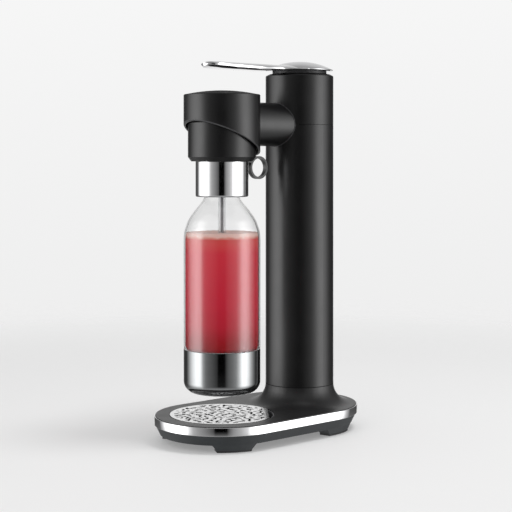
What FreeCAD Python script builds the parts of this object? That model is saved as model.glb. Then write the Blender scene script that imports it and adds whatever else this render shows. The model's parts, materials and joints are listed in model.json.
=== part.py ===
"""Soda carbonator: a stadium base, a round tower that holds the gas cylinder, an arm with a head,
a bottle that hangs in the head by its cap, and a long lever on top of the tower.

Millimetres, +Z up. The origin is on the surface the feet stand on, at the middle of the base.
-Y is the front, where the bottle hangs; the tower stands at +Y.
"""
import FreeCAD, Part
import math
import os
import re

import Sketcher

Vector = FreeCAD.Vector
doc = FreeCAD.newDocument("soda_carbonator")

# ---------------------------------------------------------------- driving dimensions, in mm and degrees
DIMENSIONS = {
    # base
    "base_radius": 75.0,
    "arc_spacing": 107.2,
    "axis_spacing": 118.3,
    "pad_height": 2.0,
    "skirt_low": 8.0,
    "skirt_high": 18.8,
    "skirt_inset": 6.5,
    "skirt_draft": 26.0,
    "pan_floor": 2.5,
    "pan_wall": 4.5,
    "band_wall": 1.4,
    "band_high": 28.0,
    "cover_high": 28.6,
    "cover_plate": 3.0,
    "cover_wall": 3.0,
    "base_plate_thick": 3.0,
    "foot_width": 13.0,
    "foot_half_low": 19.0,
    "foot_half_high": 24.0,
    "foot_draft": 18.0,
    "foot_draw": 2.0,
    "front_foot_angle": -28.0,
    "rear_foot_angle": 12.0,
    "screw_inset": 13.0,
    "screw_radius": 1.6,
    "screw_head": 3.0,
    "screw_head_high": 2.2,
    "boss_radius": 4.0,
    # drip tray
    "plate_radius": 57.6,
    "plate_thick": 1.2,
    "plate_high": 28.8,
    "plate_hole_radius": 2.0,
    "plate_hole_field": 49.0,
    "plate_hole_count": 72,
    "recess_angle": 50.0,
    "recess_reach": 51.3,
    "recess_length": 60.0,
    "dish_wall": 1.5,
    "well_gap": 0.8,
    # tower
    "tower_radius": 39.5,
    "tower_wall": 3.0,
    "tower_foot": 50.2,
    "tower_seam": 350.0,
    "seam_gap": 0.4,
    "shoulder_low": 407.0,
    "shoulder_high": 409.0,
    "shoulder_width": 4.0,
    "shoulder_wall": 1.5,
    "shoulder_round": 1.5,
    "door_half_width": 31.5,
    "door_top": 344.3,
    "door_gap": 0.3,
    "joining_ring_height": 13.0,
    "joining_ring_wall": 1.8,
    "spine_thick": 2.0,
    "spine_gap": 1.3,
    "spine_half_width": 21.0,
    "spine_foot_depth": 20.0,
    "spine_slot": 5.0,
    "cradle_radius": 32.8,
    "cradle_thick": 2.2,
    "deck_low": 390.0,
    "deck_thick": 3.0,
    # arm and head
    "arm_radius": 24.8,
    "arm_wall": 2.5,
    "arm_height": 350.0,
    "head_radius": 42.5,
    "head_wall": 2.5,
    "head_side_top": 381.6,
    "head_apex": 386.4,
    "head_rim_round": 3.5,
    "cut_middle": 333.0,
    "cut_fall": 19.6,
    # tilting carrier in the head
    "carrier_radius": 38.5,
    "carrier_low": 352.0,
    "carrier_thick": 4.0,
    "carrier_wall": 1.0,
    "carrier_wall_low": 341.0,
    "carrier_front": 6.0,
    "carrier_rear": 20.0,
    "tilt_height": 359.0,
    "carrier_ear_reach": 37.0,
    "carrier_ear_thick": 4.0,
    "carrier_ear_half": 4.0,
    "carrier_ear_high": 362.5,
    "carrier_pin_radius": 2.0,
    "carrier_pin_reach": 41.0,
    # bottle
    "bottle_radius": 42.5,
    "bottle_wall": 2.0,
    "bottle_low": 53.0,
    "sleeve_high": 101.4,
    "sleeve_wall": 1.1,
    "sleeve_round": 13.0,
    "shoulder_base": 221.0,
    "shoulder_rise": 53.0,
    "neck_radius": 18.9,
    "neck_wall": 2.7,
    "neck_high": 300.0,
    "thread_depth": 1.1,
    "drink_high": 223.5,
    "foam_high": 230.0,
    # cap
    "cap_radius": 37.7,
    "cap_low": 308.0,
    "cap_high": 351.0,
    "cap_wall": 3.0,
    "cap_top_wall": 4.0,
    "cap_chamfer": 3.7,
    "cap_chamfer_high": 4.8,
    "cap_top_round": 0.8,
    "cap_hole": 22.0,
    "collar_radius": 29.4,
    "collar_low": 269.0,
    "collar_wall": 1.3,
    "collar_lip": 3.9,
    "collar_round": 2.5,
    "insert_low": 277.5,
    "insert_top": 303.4,
    "holder_radius": 7.9,
    "holder_low": 300.5,
    "core_radius": 21.8,
    "port_radius": 6.0,
    "sheath_radius": 4.2,
    "sheath_bore": 2.4,
    "wand_radius": 1.4,
    "wand_bore": 0.7,
    "wand_low": 118.0,
    "wand_high": 340.0,
    "tip_height": 10.0,
    # release ring
    "ring_reach": 53.0,
    "ring_height": 300.9,
    "ring_radius": 13.0,
    "ring_hole": 10.6,
    "ring_thick": 5.6,
    "pivot_reach": 40.0,
    "pivot_height": 309.5,
    "pivot_radius": 1.2,
    "poppet_reach": 32.0,
    "poppet_radius": 1.5,
    "poppet_length": 17.4,
    "heel_reach": 9.5,
    "heel_thick": 1.6,
    "ear_thick": 2.2,
    "lug_thick": 5.2,
    "housing_low": 316.0,
    "housing_high": 326.0,
    "housing_radius": 2.6,
    # gas
    "gas_radius": 30.0,
    "gas_low": 31.0,
    "gas_shoulder": 322.0,
    "gas_neck_radius": 13.5,
    "gas_neck": 344.0,
    "gas_wall": 3.5,
    "gas_round": 8.0,
    "gas_shoulder_round": 14.0,
    "stem_radius": 8.0,
    "stem_low": 333.0,
    "thread_radius": 10.5,
    "valve_top": 374.0,
    "block_low": 354.0,
    "block_half_width": 15.0,
    "block_rear": 14.0,
    "bore_top": 375.5,
    "gallery_height": 380.0,
    "gallery_reach": 26.0,
    "gallery_radius": 1.2,
    "groove_low": 384.0,
    "groove_high": 387.0,
    "groove_radius": 5.0,
    "relief_height": 380.0,
    "pin_low": 361.7,
    "pin_high": 375.6,
    "pin_bore_low": 360.0,
    "pin_radius": 1.5,
    "rod_radius": 3.0,
    "rod_head_radius": 6.0,
    "rod_head_thick": 3.0,
    "spring_inner": 4.2,
    "spring_swing": 1.2,
    "spring_wall": 1.0,
    "spring_folds": 8,
    "line_radius": 1.5,
    "line_height": 368.0,
    "line_bend": 6.0,
    "line_bore": 0.8,
    "line_low": 358.6,
    "boot_thick": 0.8,
    "nozzle_radius": 3.9,
    "nozzle_flange": 6.0,
    "nozzle_high": 361.0,
    "nozzle_cup": 4.2,
    "nozzle_floor": 1.4,
    # lever
    "lever_radius": 39.2,
    "lever_rim": 412.4,
    "lever_rim_thick": 1.6,
    "lever_apex": 424.0,
    "lever_reach": 144.0,
    "lever_waist": 77.0,
    "lever_waist_half": 11.5,
    "lever_waist_low": 410.4,
    "lever_waist_high": 418.6,
    "lever_tip_half": 13.5,
    "lever_tip_low": 412.4,
    "lever_tip_high": 419.2,
    "lever_tip_drop": 2.4,
    "lever_root": 20.0,
    "lever_root_half": 27.0,
    "lever_pivot_back": 27.0,
    "lever_pivot_height": 403.0,
    "lever_pin_radius": 3.0,
    "core_disc_radius": 31.5,
    "core_disc_low": 409.2,
    "core_boss_half": 12.0,
    "core_boss_back": 4.2,
    "core_boss_low": 399.0,
    "nose_radius": 5.0,
    "ear_gap": 0.5,
    "bracket_thick": 3.0,
    "bracket_plate": 2.0,
    "bracket_top": 407.0,
    "bracket_depth": 5.0,
    # fits
    "running": 0.05,
    "loose": 0.3,
    "seat": 0.1,
}

sheet = doc.addObject("Spreadsheet::Sheet", "dims")
for row, (alias, value) in enumerate(DIMENSIONS.items(), start=1):
    sheet.set(f"A{row}", alias.replace("_", " "))
    sheet.set(f"B{row}", str(value))
    sheet.setAlias(f"B{row}", alias)
doc.recompute()

# places that many pieces share, as formulas of the sheet's cells
BOTTLE_Y = "(-arc_spacing / 2)"
TOWER_Y = "(axis_spacing - arc_spacing / 2)"
TOWER_BORE = "(tower_radius - tower_wall)"
SPINE_OUTER = "(tower_radius - tower_wall - spine_gap)"
SPINE_INNER = "(tower_radius - tower_wall - spine_gap - spine_thick)"
HEAD_BORE = "(head_radius - head_wall)"

WORD = re.compile(r"[a-z_]+")
pieces = []


def bound(formula):
    """The formula with every sheet alias written as a reference to the sheet."""
    return WORD.sub(lambda m: f"dims.{m[0]}" if m[0] in DIMENSIONS else m[0], str(formula))


def value(formula):
    """A formula's number, so that a sketch starts where its constraints will hold it."""
    return float(sheet.evalExpression(bound(formula)))


def bind(thing, prop, formula):
    thing.setExpression(prop, bound(formula))


def place(thing, x=None, y=None, z=None):
    """Ties the thing's position to the sheet."""
    for axis, formula in (("x", x), ("y", y), ("z", z)):
        if formula is not None:
            bind(thing, f"Placement.Base.{axis}", formula)
    return thing


def piece(thing, label):
    """Names a finished sub-part; its label is its file and node name."""
    thing.Label = label
    pieces.append(thing)
    return thing


# ---------------------------------------------------------------- helpers: primitives and booleans
def cylinder(name, radius, low, high, x="0", y="0"):
    """An upright cylinder between two heights."""
    made = doc.addObject("Part::Cylinder", name)
    bind(made, "Radius", radius)
    bind(made, "Height", f"({high}) - ({low})")
    return place(made, x, y, low)


def rod(name, radius, axis, start, length, x="0", y="0", z="0"):
    """A level cylinder: along X or Y from start."""
    made = doc.addObject("Part::Cylinder", name)
    bind(made, "Radius", radius)
    bind(made, "Height", length)
    if axis == "x":
        made.Placement.Rotation = FreeCAD.Rotation(Vector(0, 1, 0), 90)
        return place(made, start, y, z)
    made.Placement.Rotation = FreeCAD.Rotation(Vector(1, 0, 0), -90)
    return place(made, x, start, z)


def box(name, x, y, z):
    """A box given by its (low, high) formulas along each axis."""
    made = doc.addObject("Part::Box", name)
    for prop, (low, high) in zip(("Length", "Width", "Height"), (x, y, z)):
        bind(made, prop, f"({high}) - ({low})")
    return place(made, x[0], y[0], z[0])


def cut(name, base, *tools):
    """The base less every tool."""
    made = doc.addObject("Part::Cut", name)
    made.Base = base
    made.Tool = tools[0] if len(tools) == 1 else joined(f"{name}_tools", *tools)
    return made


def joined(name, *parts):
    made = doc.addObject("Part::MultiFuse", name)
    made.Shapes = list(parts)
    return made


def shared(name, one, other):
    made = doc.addObject("Part::Common", name)
    made.Base = one
    made.Tool = other
    return made


def several(name, *parts):
    """Separate solids in one sub-part, such as a set of screws."""
    made = doc.addObject("Part::Compound", name)
    made.Links = list(parts)
    return made


# ---------------------------------------------------------------- helpers: sketches and bodies
def new_body(name, role):
    """A body and a sketch on one of its own origin planes."""
    body = doc.addObject("PartDesign::Body", f"{name}_body")
    sketch = body.newObject("Sketcher::SketchObject", f"{name}_sketch")
    plane = next(o for o in body.Origin.OriginFeatures if o.Role == role)
    sketch.AttachmentSupport = [(plane, "")]
    sketch.MapMode = "FlatFace"
    return body, sketch


def constrain(sketch, formula, kind, *places):
    index = sketch.addConstraint(Sketcher.Constraint(kind, *places, value(formula)))
    sketch.setExpression(f"Constraints[{index}]", bound(formula))


def arc_centre(start, end, centre):
    """An arc side's centre; with none given it lies on the sketch's upright axis."""
    if centre:
        return Vector(value(centre[0]), value(centre[1]), 0)
    middle = (end.x**2 + end.y**2 - start.x**2 - start.y**2) / (2 * (end.y - start.y))
    return Vector(0, middle, 0)


def outline(sketch, points, arcs=None):
    """A closed outline through points of formulas.

    arcs gives the sides that are arcs, by number, each with its centre, or None for a dome.
    """
    arcs = arcs or {}
    spots = [Vector(value(x), value(y), 0) for x, y in points]
    count = len(points)
    ends = {}
    for side in range(count):
        start, end = spots[side], spots[(side + 1) % count]
        ends[side] = (1, 2)
        if side not in arcs:
            sketch.addGeometry(Part.LineSegment(start, end), False)
            continue
        centre = arc_centre(start, end, arcs[side])
        first = math.atan2(start.y - centre.y, start.x - centre.x)
        last = math.atan2(end.y - centre.y, end.x - centre.x)
        if (last - first) % (2 * math.pi) > math.pi:
            first, last = last, first
            ends[side] = (2, 1)
        circle = Part.Circle(centre, Vector(0, 0, 1), (start - centre).Length)
        sketch.addGeometry(Part.ArcOfCircle(circle, first, last), False)
        if arcs[side] is None:
            sketch.addConstraint(Sketcher.Constraint("PointOnObject", side, 3, -2))

    for side in range(count):
        after = (side + 1) % count
        link = Sketcher.Constraint("Coincident", side, ends[side][1], after, ends[after][0])
        sketch.addConstraint(link)
    for side, (x, y) in enumerate(points):
        for kind, formula in (("DistanceX", x), ("DistanceY", y)):
            spot = (side, ends[side][0])
            if abs(value(formula)) < 1e-9:
                axis = -2 if kind == "DistanceX" else -1
                sketch.addConstraint(Sketcher.Constraint("PointOnObject", *spot, axis))
            else:
                constrain(sketch, formula, kind, -1, 1, *spot)
    for side, centre in arcs.items():
        if centre:
            constrain(sketch, centre[0], "DistanceX", -1, 1, side, 3)


def revolved(name, points, y="0", rounds=None, arcs=None):
    """A turned piece: an outline of (radius, height) swept about an upright axis at y.

    rounds gives the outline's corners that are rounded, by number, each with its radius.
    """
    body, sketch = new_body(name, "XZ_Plane")
    outline(sketch, points, arcs)
    turn = body.newObject("PartDesign::Revolution", f"{name}_turn")
    turn.Profile = (sketch, [""])
    turn.ReferenceAxis = (sketch, ["V_Axis"])
    turn.Angle = 360
    for corner, radius in (rounds or {}).items():
        round_circle(body, f"{name}_round_{corner}", points[corner], radius)
    return place(body, y=y)


def round_circle(body, name, corner, radius):
    """Rounds the circular edge that a corner of a turned outline makes."""
    doc.recompute()
    last = body.Tip
    reach, height = (value(formula) for formula in corner)
    found = []
    for number, edge in enumerate(last.Shape.Edges, start=1):
        if edge.Degenerated or edge.Curve.TypeId != "Part::GeomCircle":
            continue
        curve = edge.Curve
        if abs(curve.Radius - reach) < 1e-3 and abs(curve.Center.z - height) < 1e-3:
            found.append(f"Edge{number}")
    made = body.newObject("PartDesign::Fillet", name)
    made.Base = (last, found)
    bind(made, "Radius", radius)
    return made


def stadium(name, radius, low, high, draft=None):
    """A block with the base's outline: two half circles on the base's two arc centres."""
    body, sketch = new_body(name, "XY_Plane")
    reach, half = value(radius), value("arc_spacing / 2")
    up = Vector(0, 0, 1)
    front = Part.ArcOfCircle(Part.Circle(Vector(0, -half, 0), up, reach), math.pi, 2 * math.pi)
    rear = Part.ArcOfCircle(Part.Circle(Vector(0, half, 0), up, reach), 0, math.pi)
    right = Part.LineSegment(Vector(reach, -half, 0), Vector(reach, half, 0))
    left = Part.LineSegment(Vector(-reach, half, 0), Vector(-reach, -half, 0))
    sketch.addGeometry([front, right, rear, left], False)
    for side in range(4):
        link = Sketcher.Constraint("Tangent", side, 2, (side + 1) % 4, 1)
        sketch.addConstraint(link)
    sketch.addConstraint(Sketcher.Constraint("Vertical", 1))
    sketch.addConstraint(Sketcher.Constraint("PointOnObject", 0, 3, -2))
    sketch.addConstraint(Sketcher.Constraint("PointOnObject", 2, 3, -2))
    constrain(sketch, "arc_spacing / 2", "DistanceY", 0, 3, -1, 1)
    constrain(sketch, "arc_spacing / 2", "DistanceY", -1, 1, 2, 3)
    constrain(sketch, radius, "Radius", 0)
    pad = body.newObject("PartDesign::Pad", f"{name}_pad")
    pad.Profile = (sketch, [""])
    bind(pad, "Length", f"({high}) - ({low})")
    if draft:
        bind(pad, "TaperAngle", draft)
    return place(body, z=low)


def prism(name, points, width, x="0"):
    """An outline of (y, z) points padded the same way to both sides along X."""
    body, sketch = new_body(name, "YZ_Plane")
    outline(sketch, points)
    pad = body.newObject("PartDesign::Pad", f"{name}_pad")
    pad.Profile = (sketch, [""])
    pad.SideType = "Symmetric"
    bind(pad, "Length", width)
    return place(body, x=x)


def tube(name, outer, inner, low, high, y="0"):
    """An upright ring."""
    return revolved(name, [(inner, low), (outer, low), (outer, high), (inner, high)], y)


# ---------------------------------------------------------------- base
SKIRT_RADIUS = "(base_radius - skirt_inset)"
PAN_BORE = "(base_radius - skirt_inset - pan_wall)"
FLOOR_TOP = "(skirt_low + pan_floor)"
BASE_PLATE_TOP = "(skirt_low + pan_floor + seat + base_plate_thick)"
COVER_RADIUS = "(base_radius - band_wall - seat)"
COVER_LOW = "(skirt_high + seat)"
COVER_UNDERSIDE = "(cover_high - cover_plate)"
SCREW_REACH = "(base_radius - screw_inset)"
CORNERS = [
    ("front_right", "front_foot_angle", "-", 1),
    ("front_left", "front_foot_angle", "-", -1),
    ("rear_right", "rear_foot_angle", "+", 1),
    ("rear_left", "rear_foot_angle", "+", -1),
]


def corner_spot(angle, end, side, reach):
    """Where a corner of the base is, at a reach from the near arc's centre."""
    x = f"{side} * ({reach}) * cos({angle} * 1deg)"
    y = f"{end} arc_spacing / 2 + ({reach}) * sin({angle} * 1deg)"
    return x, y.removeprefix("+ ")


def foot_wedge(name, corner, half_low, half_high, low, high):
    """The sloped-sided block of space that a foot fills, across the base's edge."""
    label, angle, end, side = corner
    points = [(f"-({half_low})", low), (half_low, low), (half_high, high), (f"-({half_high})", high)]
    wedge = prism(f"{name}_{label}", points, "foot_width * 3")
    turn = value(angle) if side > 0 else 180 - value(angle)
    wedge.Placement.Rotation = FreeCAD.Rotation(Vector(0, 0, 1), turn)
    x, y = corner_spot(angle, end, side, SKIRT_RADIUS)
    return place(wedge, x, y)


def at_corners(name, radius, low, high):
    """The same cylinder at the base's four screw places."""
    found = []
    for label, angle, end, side in CORNERS:
        x, y = corner_spot(angle, end, side, SCREW_REACH)
        found.append(cylinder(f"{name}_{label}", radius, low, high, x, y))
    return found


def foot_rail(name, reach, low, high, draft=None):
    """A band of the base's outline, as wide as a foot."""
    whole = stadium(f"{name}_outside", reach, low, high, draft)
    inside = stadium(f"{name}_inside", f"({reach}) - foot_width", low, high)
    return cut(name, whole, inside)


def make_base():
    pan_block = stadium("pan_block", SKIRT_RADIUS, "skirt_low", "skirt_high", "skirt_draft")
    pan_space = stadium("pan_space", PAN_BORE, FLOOR_TOP, "skirt_high")
    shell = cut("pan_shell", pan_block, pan_space)
    rail = foot_rail("foot_rail", f"{SKIRT_RADIUS} - foot_draw", "pad_height", "skirt_low", "foot_draft")
    wedges = [foot_wedge("foot", c, "foot_half_low", "foot_half_high", "pad_height", "skirt_low")
              for c in CORNERS]
    feet = shared("feet", rail, joined("foot_wedges", *wedges))
    head_space = at_corners("screw_pocket", "screw_head + loose", "0", FLOOR_TOP)
    shank_space = at_corners("screw_way", "screw_radius + seat", FLOOR_TOP, "skirt_high")
    bosses = at_corners("pan_boss", "boss_radius", FLOOR_TOP, BASE_PLATE_TOP)
    piece(cut("pan", joined("pan_with_feet", shell, feet, *bosses), *head_space, *shank_space), "base_pan")

    pad_rail = foot_rail("pad_rail", f"{SKIRT_RADIUS} - foot_draw - seat", "0", "pad_height - seat / 2")
    pad_wedges = [foot_wedge("pad", c, "foot_half_low - seat", "foot_half_low - seat", "0", "pad_height")
                  for c in CORNERS]
    piece(shared("pads", pad_rail, joined("pad_wedges", *pad_wedges)), "foot_pads")

    plate = stadium("ballast", f"{PAN_BORE} - loose", f"{FLOOR_TOP} + seat", BASE_PLATE_TOP)
    holes = [cylinder(f"ballast_hole_{side}", "screw_radius + running", FLOOR_TOP, "skirt_high",
                      x, SPINE_SCREW_Y) for side, x in SPINE_SCREW_X]
    notches = at_corners("ballast_notch", "boss_radius + loose", FLOOR_TOP, "skirt_high")
    piece(cut("ballast_drilled", plate, *holes, *notches), "base_plate")

    band_block = stadium("band_block", "base_radius", "skirt_high", "band_high")
    band_space = stadium("band_space", "base_radius - band_wall", "skirt_high", "band_high")
    piece(cut("band", band_block, band_space), "metal_band")

    screws = []
    head_low = f"{FLOOR_TOP} - screw_head_high - seat"
    for number, (shank, head) in enumerate(zip(
            at_corners("base_screw_shank", "screw_radius", head_low, f"{COVER_UNDERSIDE} - 1"),
            at_corners("base_screw_head", "screw_head", head_low, f"{FLOOR_TOP} - seat"))):
        screws.append(joined(f"base_screw_{number}", shank, head))
    piece(several("base_screw_set", *screws), "base_screws")


def flare(name, low, high):
    """The tower's concave foot, as a shell of the tower's wall, and the wall from there up to high."""
    rise, centre = "(tower_foot - cover_high)", "(tower_radius + tower_foot - cover_high)"
    ledge = "(tower_foot - 2 * tower_wall)"

    def reach(radius, height):
        return f"{centre} - sqrt(pow({radius}; 2) - pow(tower_foot - {height}; 2))"

    inner = f"({rise} + tower_wall)"
    points = [(reach(inner, low), low), (reach(rise, low), low), ("tower_radius", "tower_foot")]
    if high != "tower_foot":
        points.append(("tower_radius", high))
    points += [(TOWER_BORE, high), (TOWER_BORE, ledge), (reach(inner, ledge), ledge)]
    about = (centre, "tower_foot")
    return revolved(name, points, TOWER_Y, arcs={1: about, len(points) - 1: about})


def door_space(name, half_width, low, high):
    """The straight-sided space at the back of the tower that the rear cover closes."""
    reach = "(tower_radius * 2)"
    return box(name, (f"-({half_width})", half_width),
               (f"{TOWER_Y} + tower_radius / 4", f"{TOWER_Y} + {reach}"), (low, high))


def make_base_cover():
    top = stadium("cover_block", COVER_RADIUS, COVER_LOW, "cover_high")
    under = stadium("cover_space", f"{COVER_RADIUS} - cover_wall", COVER_LOW, COVER_UNDERSIDE)
    bosses = at_corners("cover_boss", "boss_radius", COVER_LOW, COVER_UNDERSIDE)
    foot = flare("cover_flare", "cover_high", "tower_foot")
    whole = joined("cover_whole", cut("cover_shell", top, under), foot, *bosses)
    well = cylinder("cover_well", "plate_radius + well_gap", COVER_LOW, "tower_foot", "0", BOTTLE_Y)
    door = door_space("cover_door", "door_half_width", "cover_high", "tower_foot * 2")
    slot = box("cover_spine_slot", ("-spine_half_width - loose", "spine_half_width + loose"),
               (f"{TOWER_Y} - {SPINE_OUTER} - loose",
                f"{TOWER_Y} - sqrt(pow({SPINE_INNER}; 2) - pow(spine_half_width; 2)) + loose"),
               (COVER_LOW, "cover_high + 1"))
    screw_holes = at_corners("cover_screw_hole", "screw_radius + running", COVER_LOW, COVER_UNDERSIDE)
    piece(cut("cover", whole, well, door, slot, *screw_holes), "base_cover")


# ---------------------------------------------------------------- drip tray
def make_drip_tray():
    outer = "(plate_radius + well_gap / 2)"
    low, high = f"({BASE_PLATE_TOP} + seat)", "(plate_high - plate_thick - seat)"
    piece(revolved("dish", [
        ("0", low), (outer, low), (outer, high), (f"{outer} - dish_wall", high),
        (f"{outer} - dish_wall", f"{low} + dish_wall"), ("0", f"{low} + dish_wall"),
    ], BOTTLE_Y), "drip_dish")

    disc = cylinder("plate_disc", "plate_radius", "plate_high - plate_thick", "plate_high", "0", BOTTLE_Y)
    turn = "recess_angle * 1deg"
    recess = box("plate_recess", ("0", "recess_length"), ("0", "recess_length"), ("cover_plate", "tower_foot"))
    recess.Placement.Rotation = FreeCAD.Rotation(Vector(0, 0, 1), value("recess_angle"))
    place(recess, f"recess_reach * cos({turn}) + recess_length / 2 * sin({turn})",
          f"{BOTTLE_Y} + recess_reach * sin({turn}) - recess_length / 2 * cos({turn})")
    piece(cut("plate", disc, recess, plate_drills()), "drip_plate")


def plate_drills():
    """The plate's drain holes, on a sunflower spiral so that they stay evenly spread."""
    golden = math.pi * (3 - math.sqrt(5))
    count = int(value("plate_hole_count"))
    field, radius = value("plate_hole_field"), value("plate_hole_radius")
    low = value("plate_high - 2 * plate_thick")
    drills = []
    for number in range(count):
        reach = field * math.sqrt((number + 0.5) / count)
        angle = number * golden
        spot = Vector(reach * math.cos(angle), reach * math.sin(angle), low)
        drills.append(Part.makeCylinder(radius, value("3 * plate_thick"), spot))
    made = doc.addObject("Part::Feature", "plate_drills")
    made.Shape = Part.makeCompound(drills)
    return place(made, y=BOTTLE_Y)


# ---------------------------------------------------------------- tower
SPINE_SCREW_X = [("right", "spine_half_width / 2"), ("left", "-spine_half_width / 2")]
SPINE_SCREW_Y = f"{TOWER_Y} - {SPINE_OUTER} + spine_foot_depth * 2 / 3"
DECK_TOP = "(deck_low + deck_thick)"


def arm_hole(name, centre, radius):
    """A level cut along Y through a wall that the arm passes."""
    return rod(name, f"arm_radius + {radius}", "y", centre, "tower_radius", z="arm_height")


def make_tower():
    low = tube("lower_tube", "tower_radius", TOWER_BORE, "tower_foot + seat",
               "tower_seam - seam_gap / 2", TOWER_Y)
    door = door_space("shell_door", "door_half_width", "tower_foot", "door_top")
    hole = arm_hole("lower_arm_hole", f"{TOWER_Y} - tower_radius * 1.5", "seat")
    piece(cut("lower_shell", low, door, hole), "tower_lower_shell")

    lip = "(tower_radius - shoulder_width)"
    high = revolved("upper_tube", [
        (TOWER_BORE, "tower_seam + seam_gap / 2"), ("tower_radius", "tower_seam + seam_gap / 2"),
        ("tower_radius", "shoulder_low"), (lip, "shoulder_high"), (lip, "shoulder_high - shoulder_wall"),
        (TOWER_BORE, "shoulder_low - shoulder_wall"),
    ], TOWER_Y, rounds={2: "shoulder_round"})
    hole = arm_hole("upper_arm_hole", f"{TOWER_Y} - tower_radius * 1.5", "seat")
    piece(cut("upper_shell", high, hole), "tower_upper_shell")

    ring = tube("ring_whole", f"{TOWER_BORE} - seat", f"{TOWER_BORE} - seat - joining_ring_wall",
                "door_top + 0.2", "door_top + 0.2 + joining_ring_height", TOWER_Y)
    front = box("ring_front", ("-arm_radius - 1", "arm_radius + 1"),
                (f"{TOWER_Y} - tower_radius", TOWER_Y), ("door_top", "deck_low"))
    piece(cut("ring_open", ring, front), "joining_ring")

    wall = tube("spine_tube", SPINE_OUTER, SPINE_INNER, f"{BASE_PLATE_TOP} + seat", "deck_low - seat", TOWER_Y)
    front = box("spine_front", ("-spine_half_width", "spine_half_width"),
                (f"{TOWER_Y} - tower_radius", TOWER_Y), ("0", "deck_low"))
    foot = box("spine_foot", ("-spine_half_width", "spine_half_width"),
               (f"{TOWER_Y} - {SPINE_OUTER} + spine_thick * 3",
                f"{TOWER_Y} - {SPINE_OUTER} + spine_foot_depth"),
               (f"{BASE_PLATE_TOP} + seat", f"{BASE_PLATE_TOP} + seat + spine_thick"))
    toe = box("spine_toe", ("-spine_half_width / 2", "spine_half_width / 2"),
              (f"{TOWER_Y} - {SPINE_INNER} - spine_thick / 2", f"{TOWER_Y} - {SPINE_INNER} + spine_thick * 3"),
              (f"{BASE_PLATE_TOP} + seat", f"{BASE_PLATE_TOP} + seat + spine_thick"))
    holes = [cylinder(f"spine_hole_{side}", "screw_radius + running", "skirt_low", "cover_high",
                      x, SPINE_SCREW_Y) for side, x in SPINE_SCREW_X]
    way = rod("spine_line_way", "spine_slot", "y", f"{TOWER_Y} - tower_radius", "tower_radius / 2",
              z="line_height")
    piece(cut("spine", joined("spine_whole", shared("spine_wall", wall, front), foot, toe), *holes, way),
          "chassis_spine")

    screws = []
    top = f"({BASE_PLATE_TOP} + seat + spine_thick + seat)"
    for side, x in SPINE_SCREW_X:
        head = cylinder(f"spine_screw_head_{side}", "screw_head", top, f"{top} + screw_head_high",
                        x, SPINE_SCREW_Y)
        shank = cylinder(f"spine_screw_shank_{side}", "screw_radius", f"{FLOOR_TOP} + 0.5", top,
                         x, SPINE_SCREW_Y)
        screws.append(joined(f"spine_screw_{side}", head, shank))
    piece(several("spine_screw_set", *screws), "spine_screws")

    piece(cylinder("cradle", "cradle_radius", "cover_high + seat", "cover_high + seat + cradle_thick",
                   "0", TOWER_Y), "cylinder_cradle")


def make_rear_cover():
    low, high = "(cover_high + door_gap)", "(door_top - door_gap)"
    space = door_space("rear_space", "door_half_width - door_gap", low, high)
    piece(shared("rear", flare("rear_wall", low, high), space), "rear_cover")
    inner = f"{TOWER_Y} + {TOWER_BORE}"
    piece(box("magnet", ("-tower_radius / 5", "tower_radius / 5"), (f"{inner} - 3", f"{inner} - 1.1"),
              (f"{high} - 9", high)), "cover_magnet")


# ---------------------------------------------------------------- gas supply
def make_gas_cylinder():
    inner = "(gas_radius - gas_wall)"
    piece(revolved("gas_bottle", [
        ("0", "gas_low"), ("gas_radius", "gas_low"), ("gas_radius", "gas_shoulder"),
        ("gas_neck_radius", "gas_neck"), ("stem_radius + seat", "gas_neck"),
        ("stem_radius + seat", "stem_low - gas_wall"), (inner, "gas_shoulder - gas_wall * 2"),
        (inner, "gas_low + gas_wall * 2"), ("0", "gas_low + gas_wall * 2"),
    ], TOWER_Y, rounds={1: "gas_round", 2: "gas_shoulder_round"}), "gas_cylinder")

    flange_low, flange_high = "(gas_neck + seat)", "(block_low - seat * 2)"
    piece(revolved("valve", [
        ("0", "stem_low"), ("stem_radius", "stem_low"), ("stem_radius", flange_low),
        ("gas_neck_radius", flange_low), ("gas_neck_radius", flange_high), ("thread_radius", flange_high),
        ("thread_radius", "valve_top"), ("pin_radius + running", "valve_top"),
        ("pin_radius + running", "pin_bore_low"), ("0", "pin_bore_low"),
    ], TOWER_Y), "cylinder_valve")
    piece(cylinder("pin", "pin_radius", "pin_low", "pin_high", "0", TOWER_Y), "valve_pin")
    piece(tube("thread_seal", "thread_radius - seat", "thread_radius / 2", "valve_top + loose",
               "bore_top - seat", TOWER_Y), "cylinder_seal")


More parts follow.
